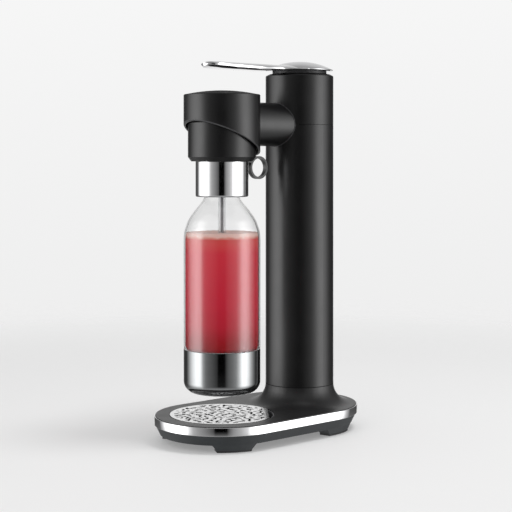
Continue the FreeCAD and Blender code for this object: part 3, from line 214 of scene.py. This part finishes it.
FINISHES = {
    # name: colour, roughness, the rest
    "black_plastic": ((0.0050, 0.0049, 0.0052), 0.33, dict(grain=1500, bump=0.07, rough_spread=0.02)),
    "cover_plastic": ((0.013, 0.0128, 0.0132), 0.38, dict(grain=1500, bump=0.08, rough_spread=0.02)),
    "matte_top": ((0.0070, 0.0068, 0.0072), 0.62, dict(grain=1500, bump=0.08, Specular_IOR_Level=0.12)),
    # painted highlight: a paler black for the head's lip and the arm's bead, standing for the light lines
    # along them
    "painted_highlight_edge": ((0.052, 0.052, 0.055), 0.5, dict(grain=1500, bump=0.08)),
    "pan_plastic": ((0.030, 0.034, 0.037), 0.52, dict(grain=1400, bump=0.14)),
    "dish_plastic": ((0.11, 0.11, 0.115), 0.5, dict(grain=1200, bump=0.1)),
    "inner_plastic": ((0.045, 0.045, 0.048), 0.5, dict(bump=0.12)),
    "rubber": ((0.022, 0.022, 0.023), 0.7, dict(bump=0.2)),
    "silicone": ((0.55, 0.55, 0.54), 0.5, dict(spread=0.05, bump=0.1)),
    "polished_steel": ((0.86, 0.86, 0.87), 0.07, MIRROR),
    "sleeve_steel": ((0.27, 0.277, 0.28), 0.10, MIRROR),
    "plate_steel": ((0.95, 0.95, 0.95), 0.22,
                    dict(METAL, spread=0.02, rough_spread=0.03, stretch=(1, 9, 1), bump=0.02)),
    "chassis_steel": ((0.55, 0.56, 0.57), 0.34, dict(METAL, stretch=(9, 1, 1))),
    "dark_steel": ((0.07, 0.07, 0.075), 0.3, METAL),
    "magnet_steel": ((0.42, 0.42, 0.43), 0.4, METAL),
    "brass": ((0.72, 0.52, 0.24), 0.3, METAL),
    "gas_aluminium": ((0.60, 0.61, 0.63), 0.32, dict(METAL, spread=0.05, stretch=(1, 1, 12))),
    "clear_plastic": ((0.985, 0.985, 0.985), 0.03, dict(CLEAR, **COATED, spread=0.004, rough_spread=0.012)),
    "clear_inside": ((0.99, 0.99, 0.99), 0.03, dict(CLEAR, spread=0.003, rough_spread=0.01)),
    "clouded_plastic": ((0.90, 0.91, 0.92), 0.12,
                        dict(spread=0.01, rough_spread=0.02, bump=0.0, Transmission_Weight=0.85, IOR=1.12)),
}
materials = {name: finish(name, colour, roughness, **rest)
             for name, (colour, roughness, rest) in FINISHES.items()}
materials["red_drink"] = drink_material("red_drink")
materials["pale_foam"] = foam_material("pale_foam")

OTHER_LOOKS = {"wand_tube": "dark_steel", "joining_ring": "matte_top", "drip_dish": "dish_plastic",
               "base_cover": "cover_plastic"}
for entry in frame["record"]["subparts"]:
    look = OTHER_LOOKS.get(entry["node"], entry["material_slot"])
    mesh = nodes[entry["node"]].data
    mesh.materials.clear()
    mesh.materials.append(materials[look])


# ---------------------------------------------------------------- mesh helpers
def soften(node, width, angle=35):
    """Gives a CAD node's edges the small radius that a moulded or pressed part has."""
    thing = nodes[node]
    edge = thing.modifiers.new("edge", "BEVEL")
    edge.width = width
    edge.segments = 3
    edge.limit_method = "ANGLE"
    edge.angle_limit = math.radians(angle)
    edge.harden_normals = True
    thing.modifiers.new("normals", "WEIGHTED_NORMAL").keep_sharp = True


def finished_piece(bm, name, slot, body, replaced=(), sharp=38, look=None):
    """Turns a closed bmesh into a smooth-shaded piece that rides on a body."""
    bmesh.ops.recalc_face_normals(bm, faces=bm.faces)
    mesh = bpy.data.meshes.new(name)
    bm.to_mesh(mesh)
    bm.free()
    mesh.shade_smooth()
    mesh.set_sharp_from_angle(angle=math.radians(sharp))
    mesh.materials.append(materials[look or slot])
    thing = bpy.data.objects.new(name, mesh)
    scene.collection.objects.link(thing)
    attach(thing, body)
    if replaced:
        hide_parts(*replaced)
    return thing


def new_piece(name, verts, faces, slot, body, **others):
    bm = bmesh.new()
    spots = [bm.verts.new(v) for v in verts]
    for face in faces:
        bm.faces.new([spots[i] for i in face])
    bmesh.ops.remove_doubles(bm, verts=bm.verts, dist=1e-7)
    return finished_piece(bm, name, slot, body, **others)


def refinish(thing, slot, wanted):
    """Gives the faces for which wanted(face) holds another finish."""
    thing.data.materials.append(materials[slot])
    last = len(thing.data.materials) - 1
    for face in thing.data.polygons:
        if wanted(face):
            face.material_index = last


def rounded(corners, steps=6):
    """An outline's points with its corners rounded: each corner is (r, z) or (r, z, radius)."""
    most = 0.48  # of a side, for one corner's curve
    found = []
    for index, corner in enumerate(corners):
        spot = Vector(corner[:2])
        if len(corner) < 3:
            found.append(tuple(spot))
            continue
        before = Vector(corners[index - 1][:2]) - spot
        after = Vector(corners[(index + 1) % len(corners)][:2]) - spot
        half = before.angle(after) / 2
        run = min(corner[2] / math.tan(half), before.length * most, after.length * most)
        radius = run * math.tan(half)
        inward = (before.normalized() + after.normalized()).normalized()
        centre = spot + inward * (radius / math.sin(half))
        first = spot + before.normalized() * run - centre
        last = spot + after.normalized() * run - centre
        sweep = first.angle(last)
        for step in range(steps + 1):
            t = step / steps
            arm = (first * math.sin((1 - t) * sweep) + last * math.sin(t * sweep)) / math.sin(sweep)
            found.append(tuple(centre + arm))
    return found


def turned(name, outline, y, slot, body, segments=144, stretch=0.0, lift=None, **others):
    """Sweeps a closed outline of (r, z) about an upright axis, or round a stadium when stretched along Y.
    lift(r, z, dx, dy) is added to a point's height.
    """
    verts, rows = [], []
    for r, z in outline:
        turns = segments if r > 1e-6 else 1
        rows.append(range(len(verts), len(verts) + turns))
        for k in range(turns):
            angle = math.tau * (k + 0.5) / segments
            dx, dy = r * math.sin(angle), -r * math.cos(angle)
            end = math.copysign(stretch, dy) if stretch else 0.0
            verts.append((dx, y + dy + end, z + (lift(r, z, dx, dy) if lift else 0.0)))
    faces = []
    for row, after in zip(rows, rows[1:] + rows[:1]):
        if len(row) == 1 and len(after) == 1:
            continue
        count = max(len(row), len(after))
        for k in range(count):
            n = (k + 1) % count
            if len(row) == 1:
                faces.append((row[0], after[n], after[k]))
            elif len(after) == 1:
                faces.append((row[k], row[n], after[0]))
            else:
                faces.append((row[k], row[n], after[n], after[k]))
    return new_piece(name, verts, faces, slot, body, **others)


def tube_faces(rings, sides, closed=False):
    """Faces that join rings of points: the tube closes on itself, or its two ends are filled in."""
    faces = []
    for ring in range(rings if closed else rings - 1):
        here, after = ring * sides, (ring + 1) % rings * sides
        for k in range(sides):
            n = (k + 1) % sides
            faces.append((here + k, here + n, after + n, after + k))
    if not closed:
        faces += [tuple(range(sides)), tuple(range((rings - 1) * sides, rings * sides))]
    return faces


# ---------------------------------------------------------------- base
def band_piece():
    """The polished band round the stadium-shaped base."""
    radius, y, low, high = span("metal_band")
    box_low, box_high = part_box("metal_band")
    inside = radius - 1.4 * MM
    turned("band_ring", rounded([
        (inside, low), (radius, low, 0.35 * MM), (radius, high, 0.5 * MM), (inside, high, 0.3 * MM),
    ], 4), y, "polished_steel", "frame", replaced=["metal_band"], segments=240,
        stretch=(box_high[1] - box_low[1]) / 2 - radius)


def cut_sheet(inside, reach, step):
    """Points and flat faces that fill where inside(x, y) is positive: a square grid, cut on its zero line."""
    count = int(2 * reach / step) + 2
    start = -count * step / 2
    places = [start + i * step for i in range(count + 1)]
    values = [[inside(x, y) for y in places] for x in places]
    least = 0.03  # of a step, between a cut and a grid point
    numbers, spots, faces = {}, [], []

    def spot(key, i, j):
        if key not in numbers:
            numbers[key] = len(spots)
            spots.append((start + i * step, start + j * step))
        return numbers[key]

    for i in range(count):
        for j in range(count):
            corners = [(i, j), (i + 1, j), (i + 1, j + 1), (i, j + 1)]
            loop = []
            for a, b in zip(corners, corners[1:] + corners[:1]):
                va, vb = values[a[0]][a[1]], values[b[0]][b[1]]
                if va > 0:
                    loop.append(spot(a, *a))
                if (va > 0) != (vb > 0):
                    t = min(1 - least, max(least, va / (va - vb)))
                    loop.append(spot((min(a, b), max(a, b)),
                                     a[0] + (b[0] - a[0]) * t, a[1] + (b[1] - a[1]) * t))
            if len(loop) > 2:
                faces.append(loop)
    return spots, faces


def drip_plate_piece():
    """A disc of sheet steel with a random pattern of small slots, cut off by the finger recess."""
    low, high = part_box("drip_plate")
    reach = (high[0] - low[0]) / 2
    recess = math.radians(50)
    chord = 51.3 * MM
    rim = 3.6 * MM
    slot_size, ragged_size = 4.4 * MM, 2.1 * MM
    metal_bias = 0.10
    slope = 3.6 * MM

    def metal(x, y):
        """Positive inside the metal; about a millimetre per millimetre near an edge."""
        along = x * math.cos(recess) + y * math.sin(recess)
        edge = min(reach - math.hypot(x, y), chord - along)
        if edge < rim:
            return edge
        wave = noise.noise(Vector((x, y, 0)) / slot_size)
        wave += 0.25 * noise.noise(Vector((x, y, 9)) / ragged_size)
        near_rim = max(0.0, rim + 1.0 * MM - edge) * 2
        return min((wave + metal_bias) * slope + near_rim, edge)

    spots, faces = cut_sheet(metal, reach, 0.65 * MM)
    bm = bmesh.new()
    made = [bm.verts.new((x, BOTTLE_Y + y, low[2])) for x, y in spots]
    for loop in faces:
        bm.faces.new([made[i] for i in loop])
    grown = bmesh.ops.extrude_face_region(bm, geom=bm.faces[:], use_keep_orig=True)
    for part in grown["geom"]:
        if isinstance(part, bmesh.types.BMVert):
            part.co.z = high[2]
    finished_piece(bm, "drip_plate_slotted", "plate_steel", "drip_plate", ["drip_plate"], sharp=40)


def foot_seam():
    """The shadow line where the tower stands in the base cover's flare."""
    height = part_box("tower_lower_shell")[0][2]
    half, deep, proud = 0.4 * MM, 0.6 * MM, 0.05 * MM
    inside, outside = TOWER_RADIUS - deep, TOWER_RADIUS + proud
    turned("foot_seam", [
        (inside, height - half), (outside, height - half), (outside, height + half), (inside, height + half),
    ], TOWER_Y, "black_plastic", "frame", segments=192, look="matte_top")


# ---------------------------------------------------------------- head and arm
def head_piece():
    """The bell over the cap: a low dome, and a lower rim that slants down to the rear."""
    radius, y, low, high = span("head_shell")
    wall = 2.5 * MM
    rim_middle, rim_fall = high - 53.4 * MM, 19.6 * MM
    side_top = high - 4.8 * MM
    steps = 14

    def slant(r, z, dx, dy):
        """The lower rim lies in a slanted plane; the rest is level."""
        return -rim_fall * dy / radius if z < rim_middle + 2 * MM else 0.0

    def dome(r, foot):
        return r, foot + (high - side_top) * (1 - (r / radius) ** 2)

    outer = [dome((radius - 2.2 * MM) * (1 - index / steps), side_top) for index in range(steps + 1)]
    inner = [dome((radius - wall) * index / steps, side_top - wall) for index in range(1, steps + 1)]
    bell = turned("head_bell", rounded([
        (radius - wall, rim_middle, 0.5 * MM), (radius, rim_middle, 1.1 * MM),
        (radius, side_top + 0.3 * MM, 2.2 * MM), *outer, (0.0, high - wall), *inner,
    ]), y, "black_plastic", "frame", replaced=["head_shell"], segments=192, lift=slant)

    def on_lip(face):
        across = face.center.y - y
        outside = math.hypot(face.center.x, across) > radius - 1.25 * MM
        return outside and face.center.z < rim_middle + slant(0, 0, 0, across) + 1.0 * MM

    refinish(bell, "matte_top", lambda face: face.normal.z > 0.9 and face.center.z > side_top)
    # painted highlight: the lip's faces take the paler finish, standing for the light line along the rim
    refinish(bell, "painted_highlight_edge", on_lip)


def arm_bead():
    """The fine bead where the arm's tube meets the tower, drawn paler as a painted highlight along the joint.
    """
    low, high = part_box("arm_tube")
    reach = (high[0] - low[0]) / 2 + 0.15 * MM
    height = (low[2] + high[2]) / 2
    thick = 0.42 * MM
    turns, sides = 160, 8
    verts = []
    for k in range(turns):
        angle = math.tau * k / turns
        out = Vector((math.cos(angle), 0, math.sin(angle)))
        x = reach * out.x
        spot = Vector((x, TOWER_Y - math.sqrt(TOWER_RADIUS ** 2 - x * x), height + reach * out.z))
        for n in range(sides):
            turn = math.tau * n / sides
            verts.append(spot + (out * math.cos(turn) + Vector((0, -1, 0)) * math.sin(turn)) * thick)
    # painted highlight: the bead's paler finish stands for the light line along the joint
    new_piece("arm_bead", verts, tube_faces(turns, sides, closed=True), "black_plastic", "frame",
              sharp=180, look="painted_highlight_edge")


# ---------------------------------------------------------------- cap and bottle
def collar_piece():
    """The chrome collar of the cap with its inward lip; its lowest edge is darkened as a painted shadow, in
    the dark rubber finish.
    """
    radius, y, low, high = span("cap_collar")
    wall, lip, lip_thick = radius - 1.3 * MM, radius - 3.9 * MM, 1.5 * MM
    collar = turned("collar_ring", rounded([
        (wall, high), (wall, low + lip_thick), (lip, low + lip_thick),
        (lip, low, 0.5 * MM), (radius, low, 2.5 * MM), (radius, high, 0.4 * MM),
    ]), y, "polished_steel", "cap", replaced=["cap_collar"], segments=192)
    # painted shadow: the faces at the collar's lowest edge take the dark rubber finish, standing for the
    # shadow under the lip
    refinish(collar, "rubber", lambda face: face.center.z < low + 0.9 * MM)


def foot_piece():
    """The steel cup round the bottle's foot."""
    wall = 1.1 * MM
    inside, floor = BOTTLE_RADIUS - wall, SLEEVE_LOW + wall
    foot = turned("bottle_foot", rounded([
        (0.0, SLEEVE_LOW), (BOTTLE_RADIUS, SLEEVE_LOW, 13 * MM), (BOTTLE_RADIUS, SLEEVE_HIGH, 0.5 * MM),
        (inside, SLEEVE_HIGH, 0.3 * MM), (inside, floor, 12 * MM), (0.0, floor),
    ], 14), BOTTLE_Y, "polished_steel", "bottle", replaced=["bottle_sleeve"], segments=192,
        look="sleeve_steel")
    foot.visible_glossy = False


def bottle_wall():
    """The outside and inside of the bottle's body, shoulder and neck root, from the bottom up."""
    wall = 2 * MM
    steps = 6
    # how far the wall is drawn in, and how far below the bottle's top
    shoulder = [(0, 95), (0, 81), (0.2, 75), (0.9, 69), (2.7, 63.5), (4.9, 57.5), (8.2, 52), (12.2, 46.5),
                (16.2, 41.5), (19.9, 37), (22.3, 33), (23.4, 29), (23.6, 25)]
    knots = [Vector((BOTTLE_RADIUS - less * MM, BOTTLE_HIGH - drop * MM)) for less, drop in shoulder]
    outer = []
    for before, start, end, after in zip(knots, knots[1:], knots[2:], knots[3:]):
        for step in range(steps):
            s = step / steps  # Catmull-Rom spline
            outer.append(0.5 * (2 * start + (end - before) * s
                                + (2 * before - 5 * start + 4 * end - after) * s * s
                                + (3 * start - before - 3 * end + after) * s * s * s))
    inner = []
    for k, spot in enumerate(outer):
        along = (outer[min(k + 1, len(outer) - 1)] - outer[max(k - 1, 0)]).normalized()
        inner.append(spot - Vector((along.y, -along.x)) * wall)
    inner[-1].x = BOTTLE_RADIUS - 26.3 * MM
    return [tuple(spot) for spot in outer], [tuple(spot) for spot in inner]


def bottle_piece():
    """The clear bottle: seated in the steel cup, with a shoulder, a neck and two rings of thread."""
    neck, neck_wall, thread = 18.9 * MM, 2.7 * MM, 1.1 * MM
    seat = BOTTLE_RADIUS - 1.3 * MM
    inside, cavity = BOTTLE_RADIUS - 3.3 * MM, BOTTLE_LOW + 2 * MM
    outer, inner = bottle_wall()
    threads = []
    for drop in (14, 8):
        top = BOTTLE_HIGH - drop * MM
        threads += [(neck, top - 2.6 * MM, 0.3 * MM), (neck + thread, top - 1.6 * MM, 0.5 * MM),
                    (neck + thread, top - 1.0 * MM, 0.5 * MM), (neck, top, 0.3 * MM)]
    clear = turned("bottle_clear", rounded([
        (0.0, BOTTLE_LOW), (seat, BOTTLE_LOW, 11.5 * MM), (seat, SLEEVE_HIGH + 0.1 * MM),
        (BOTTLE_RADIUS, SLEEVE_HIGH + 0.4 * MM, 0.3 * MM), *outer, *threads,
        (neck, BOTTLE_HIGH, 0.9 * MM), (neck - neck_wall, BOTTLE_HIGH, 0.9 * MM), *reversed(inner),
        (BOTTLE_RADIUS - 2 * MM, SLEEVE_HIGH + 3 * MM, 1 * MM), (inside, SLEEVE_HIGH - 1 * MM, 1 * MM),
        (inside, cavity, 10 * MM), (0.0, cavity),
    ], 8), BOTTLE_Y, "clear_plastic", "bottle", replaced=["bottle"], segments=160, sharp=50)

    def inward(face):
        away = Vector((face.center.x, face.center.y - BOTTLE_Y))
        over_floor = away.length < BOTTLE_RADIUS - 8 * MM and face.center.z < BOTTLE_LOW + 5.6 * MM
        return away.dot(face.normal.xy) < 0 or over_floor

    refinish(clear, "clear_inside", inward)
    clear.visible_glossy = False


def liquid_pieces():
    """The drink and the foam on it; both follow the inside of the bottle and leave room for the wand."""
    inner = bottle_wall()[1]
    gap = 0.15 * MM
    wand = 4.5 * MM
    wand_end = span("wand_tip")[2] - 1.5 * MM

    def reach(z):
        """How far the liquid reaches at a height above the bottle's straight part."""
        for (ra, za), (rb, zb) in zip(inner, inner[1:]):
            if za <= z <= zb:
                return ra + (rb - ra) * (z - za) / (zb - za) - gap
        return inner[0][0] - gap

    _, _, low, high = span("drink")
    wide = reach(0.0)
    narrow = wide - 1.4 * MM
    shoulder = [(reach(z), z) for z in (high - 4.5 * MM, high - 2.0 * MM)]
    drink = turned("drink_body", rounded([
        (0.0, low), (narrow, low, 9 * MM), (narrow, SLEEVE_HIGH - 1 * MM, 1 * MM),
        (wide, SLEEVE_HIGH + 3 * MM, 1 * MM), *shoulder, (reach(high), high), (wand, high), (wand, wand_end),
        (0.0, wand_end),
    ], 8), BOTTLE_Y, "red_drink", "bottle", replaced=["drink"], segments=128)

    _, _, low, high = span("foam")
    top = high - 0.9 * MM
    steps = 26
    froth = [(wand + (reach(top) - wand) * index / steps, top) for index in range(steps + 1)]
    lump_size, lump_height, meniscus_height = 3.1 * MM, 0.45 * MM, 0.4 * MM

    def lumps(r, z, dx, dy):
        """An uneven top: a meniscus at the wall, and soft lumps."""
        if z < top - 0.1 * MM:
            return 0.0
        edge = max(0.0, (r - reach(top) + 3 * MM) / (3 * MM)) ** 2
        return lump_height * noise.noise(Vector((dx, dy, 0)) / lump_size) + meniscus_height * edge

    middle = (low + top) / 2
    foam = turned("foam_body", [(wand, low), *froth, (reach(middle), middle), (reach(low), low)],
                  BOTTLE_Y, "pale_foam", "bottle", replaced=["foam"], segments=128, lift=lumps, sharp=80)
    drink.visible_glossy = foam.visible_glossy = False


# ---------------------------------------------------------------- lever and its spring
def between(table, x):
    """A smooth curve through (x, value) points."""
    if x <= table[0][0]:
        return table[0][1]
    for (xa, va), (xb, vb) in zip(table, table[1:]):
        if x <= xb:
            t = (x - xa) / (xb - xa)
            return va + (vb - va) * t * t * (3 - 2 * t)
    return table[-1][1]


def lever_piece():
    """A polished pressing: a domed disc over the tower that runs out into a long spoon-ended handle.
    Millimetres: s runs forward from the tower's axis, x across, and heights are below the dome's apex.
    """
    low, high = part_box("lever")
    disc = (high[0] - low[0]) / 2 / MM
    reach = (TOWER_Y - low[1]) / MM
    apex = high[2] / MM
    crease_drop = 10.0
    least_half, tip_half = 1.2, 13.5
    tip_middle = reach - tip_half
    handle_start, merge = 18, 8
    widths = [(handle_start, 33), (45, 19), (77, 11.6), (105, 11.9), (tip_middle, tip_half)]
    creases = [(30, crease_drop), (60, 9.4), (80, 9.0), (110, 8.4), (128, 7.8), (reach, 8.8)]
    tops = [(30, 5.4), (110, 5.5), (128, 4.9), (137, 5.5), (reach, 7.6)]
    unders = [(33, 11.6), (46, 12.6), (62, 13.5), (126, 13.5), (136, 12.8), (reach, 11.0)]

    def half_width(s):
        circle = math.sqrt(max(0.0, disc * disc - s * s))
        if s > tip_middle:
            return max(least_half, math.sqrt(max(0.0, tip_half ** 2 - (s - tip_middle) ** 2)))
        on_handle = s > handle_start
        handle = between(widths, s) if on_handle else 0.0
        near = max(0.0, 1 - abs(circle - handle) / merge)
        fillet = 0.8 * near * near if on_handle and circle > 0 else 0.0
        return max(circle, handle, least_half) + fillet

    def crown(x, s, half, edge):
        """The height of the upper side: the dome, the handle's crown, or both melted together."""
        u = x / half
        dome = apex - crease_drop * (math.hypot(x, s) / disc) ** 2.2
        if s < 12:
            return dome
        spoon = 0.9 * math.exp(-((s - (reach - 15)) / 9) ** 2 - (u / 0.55) ** 2)
        rise = apex - between(tops, s) - edge
        handle = edge + rise * (1 - u * u) - spoon - 0.5 * max(0.0, 30 - s)
        melt = 2.0 * (1 - abs(u))
        close = max(0.0, melt - abs(dome - handle))
        return max(dome, handle, edge) + (close * close / (4 * melt) if melt > 0 else 0.0)

    def section(s):
        half = half_width(s)
        edge, under = apex - between(creases, s), apex - between(unders, s)
        waist = under + (edge - under) * 0.5
        foot = half - min(2.6, 0.4 * half)
        columns = [-0.95 * half * math.cos(math.pi * k / 30) for k in range(31)]
        return rounded([
            *[(x, crown(x, s, half, edge)) for x in columns],
            (half, edge, 0.9), (half, waist, 0.5), (foot, under, 0.6),
            (-foot, under, 0.6), (-half, waist, 0.5), (-half, edge, 0.9)], 5)

    back, middle, tip = 36, 110, 16
    first = math.acos(least_half / disc)
    rows = [-disc * math.sin(first * (1 - k / back)) for k in range(back)]
    rows += [tip_middle * k / middle for k in range(middle + 1)]
    rows += [tip_middle + tip_half * math.sin(math.radians(84) * k / tip) for k in range(1, tip + 1)]
    verts = []
    for s in rows:
        outline = section(s)
        verts += [(x * MM, TOWER_Y - s * MM, z * MM) for x, z in outline]
    new_piece("lever_pressing", verts, tube_faces(len(rows), len(outline)), "polished_steel", "lever",
              replaced=["lever"], sharp=50)


def spring_coil():
    """The push rod's return spring, wound from wire; the coil is built at one length, and nothing here
    shortens it when the lever presses the rod down.
    """
    radius, y, low, high = span("return_spring")
    wire, turns, sides, steps = 0.6 * MM, 4.5, 10, 162
    reach = radius - 1.5 * wire
    verts = []
    for step in range(steps + 1):
        share = step / steps
        angle = math.tau * turns * share
        height = low + wire + (high - low - 2 * wire) * share
        for point in range(sides):
            swing = math.tau * point / sides
            r = reach + wire * math.cos(swing)
            verts.append((r * math.cos(angle), y + r * math.sin(angle), height + wire * math.sin(swing)))
    coil = new_piece("spring_coil", verts, tube_faces(steps + 1, sides), "chassis_steel", "frame",
                     replaced=["return_spring"])
    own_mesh(coil)


band_piece()
drip_plate_piece()
foot_seam()
head_piece()
arm_bead()
collar_piece()
foot_piece()
bottle_piece()
liquid_pieces()
lever_piece()
spring_coil()
EDGE_WIDTHS = {"tower_upper_shell": 0.35, "tower_lower_shell": 0.35, "base_cover": 0.6, "base_pan": 0.7,
               "cap_body": 0.5, "arm_tube": 0.3, "release_ring": 0.7, "rear_cover": 0.4, "drip_dish": 0.3,
               "foot_pads": 0.4}
for node, width in EDGE_WIDTHS.items():
    soften(node, width * MM)


# ---------------------------------------------------------------- studio
TOWARDS_CAMERA = Vector((0.7473, -0.6645, 0))
CAMERA_SPOT = Vector((1.1028, -0.9838, 0.3102))


def floor_mesh():
    """A wide disc of rings."""
    rings = [0.2, 0.4, 0.7, 1.1, 1.6, 2.4]
    count = 96
    verts = [(0, 0, 0)]
    for r in rings:
        for k in range(count):
            angle = math.tau * k / count
            verts.append((r * math.cos(angle), r * math.sin(angle), 0))
    faces = [(0, 1 + k, 1 + (k + 1) % count) for k in range(count)]
    for ring in range(len(rings) - 1):
        a, b = 1 + ring * count, 1 + (ring + 1) * count
        faces += [(a + k, b + k, b + (k + 1) % count, a + (k + 1) % count) for k in range(count)]
    mesh = bpy.data.meshes.new("floor")
    mesh.from_pydata(verts, [], faces)
    return mesh


def studio_floor():
    """A pale floor that fades out before its edge, so that it has no horizon."""
    own_light = 0.30
    mat, tree, shader = new_shader("floor")
    set_sockets(shader, {"Base_Color": (0.87, 0.87, 0.87, 1), "Roughness": 0.6, "Specular_IOR_Level": 0.2})
    coords = tree.nodes.new("ShaderNodeTexCoord").outputs["Object"]
    away = node_link(tree, "ShaderNodeVectorMath", {0: coords}, operation="LENGTH").outputs["Value"]
    fade = share_between(tree, away, 0.45, 1.5, interpolation_type="SMOOTHSTEP")
    clear = tree.nodes.new("ShaderNodeBsdfTransparent").outputs[0]
    glow = node_link(tree, "ShaderNodeEmission", {"Color": (0.81, 0.81, 0.81, 1), "Strength": 1.0}).outputs[0]
    lifted = node_link(tree, "ShaderNodeMixShader", {0: own_light, 1: shader.outputs[0], 2: glow}).outputs[0]
    mixed = node_link(tree, "ShaderNodeMixShader", {0: fade, 1: lifted, 2: clear}).outputs[0]
    tree.links.new(mixed, tree.nodes["Material Output"].inputs["Surface"])
    mesh = floor_mesh()
    mesh.materials.append(mat)
    thing = bpy.data.objects.new("floor", mesh)
    thing.visible_glossy = False
    scene.collection.objects.link(thing)


def light_boxes(tree, coords, height):
    """Tall light boxes and dark flags round the object: what a glossy surface mirrors."""
    brightest = 4.2
    # degrees round from the camera's side, and brightness
    lit = [(-180, 0.90), (-166, 0.80), (-156, 0.06), (-128, 0.10), (-118, 0.6), (-109, 1.4), (-95, 2.8),
           (-80, 4.0), (-66, 3.6), (-57, 1.1), (-48, 0.5), (-40, 0.36), (-20, 0.16), (-12, 0.08), (-10, 0.0),
           (10, 0.0), (13, 0.10), (21, 0.3), (34, 0.5), (45, 0.8), (54, 1.8), (64, 3.9), (76, 4.2), (87, 3.1),
           (97, 1.5), (108, 0.6), (120, 0.10), (156, 0.06), (166, 0.80), (180, 0.90)]
    turn = math.atan2(TOWARDS_CAMERA.y, TOWARDS_CAMERA.x)
    way = node_link(tree, "ShaderNodeVectorRotate", {"Vector": coords, "Angle": -turn},
                    rotation_type="Z_AXIS").outputs[0]
    around = node_link(tree, "ShaderNodeTexGradient", {"Vector": way}, gradient_type="RADIAL").outputs["Fac"]
    boxes = ramp(tree, around, [(0.5 + angle / 360, level / brightest) for angle, level in lit])
    share = share_between(tree, height, -1.0, 1.0)
    box_share = ramp(tree, share, [
        (0.18, 0.0), (0.28, 0.35), (0.36, 0.85), (0.42, 1.0), (0.56, 1.0), (0.66, 0.62), (0.77, 0.34),
        (0.87, 0.0)])
    above_and_below = ramp(tree, share, [
        (0.03, 0.02), (0.08, 0.15), (0.26, 0.15), (0.32, 0.08), (0.6, 0.09), (0.80, 0.11), (0.90, 0.08),
        (0.935, 0.03), (0.97, 0.03), (0.992, 0.24)])
    tone = mix_colours(tree, box_share, above_and_below, boxes)
    return node_link(tree, "ShaderNodeBackground", {"Color": tone, "Strength": brightest}).outputs[0]


def studio_world():
    """A pale room for the eye and for soft light, and the light boxes for what is glossy."""
    world = bpy.data.worlds.new("studio")
    scene.world = world
    world.use_nodes = True
    tree = world.node_tree
    coords = tree.nodes.new("ShaderNodeTexCoord").outputs["Generated"]
    height = node_link(tree, "ShaderNodeSeparateXYZ", {"Vector": coords}).outputs["Z"]
    gloss = light_boxes(tree, coords, height)

    room_tone = ramp(tree, share_between(tree, height, -0.3, 0.15), [
        (0.09, 0.807), (0.30, 0.831), (0.43, 0.863), (0.73, 0.896), (0.92, 0.921)])
    path = tree.nodes.new("ShaderNodeLightPath").outputs
    soft_light_lost = 0.34
    dimmed = node_link(tree, "ShaderNodeMath", {0: path["Is Diffuse Ray"], 1: -soft_light_lost, 2: 1.0},
                       operation="MULTIPLY_ADD").outputs[0]
    room = node_link(tree, "ShaderNodeBackground", {"Color": room_tone, "Strength": dimmed}).outputs[0]
    mirrored = node_link(tree, "ShaderNodeMath", {0: path["Is Glossy Ray"], 1: path["Is Transmission Ray"]},
                         operation="SUBTRACT", use_clamp=True).outputs[0]
    both = node_link(tree, "ShaderNodeMixShader", {0: mirrored, 1: room, 2: gloss}).outputs[0]
    tree.links.new(both, tree.nodes["World Output"].inputs["Surface"])


def studio_light(name, spot, aim, size, power):
    light = bpy.data.lights.new(name, "AREA")
    light.shape = "RECTANGLE"
    light.size = light.size_y = size
    light.energy = power
    thing = bpy.data.objects.new(name, light)
    scene.collection.objects.link(thing)
    thing.location = spot
    thing.rotation_mode = "QUATERNION"
    thing.rotation_quaternion = (Vector(aim) - Vector(spot)).to_track_quat("-Z", "Y")
    thing.visible_glossy = thing.visible_transmission = False


def studio_camera():
    camera = bpy.data.cameras.new("camera")
    camera.lens = 91.6
    camera.sensor_width = 36
    camera.shift_y = -0.1887
    camera.clip_start, camera.clip_end = 0.05, 20
    thing = bpy.data.objects.new("camera", camera)
    scene.collection.objects.link(thing)
    thing.location = CAMERA_SPOT
    thing.rotation_mode = "QUATERNION"
    thing.rotation_quaternion = (-TOWARDS_CAMERA).to_track_quat("-Z", "Y")
    scene.camera = thing


studio_floor()
studio_world()
studio_light("key", (0.39, 0.27, 1.5), (0, 0, 0.1), size=0.4, power=9.5)
studio_light("front", (0.3, -1.6, 1.0), (0, 0, 0.2), size=1.2, power=4)
studio_camera()
scene.view_settings.view_transform = "Standard"
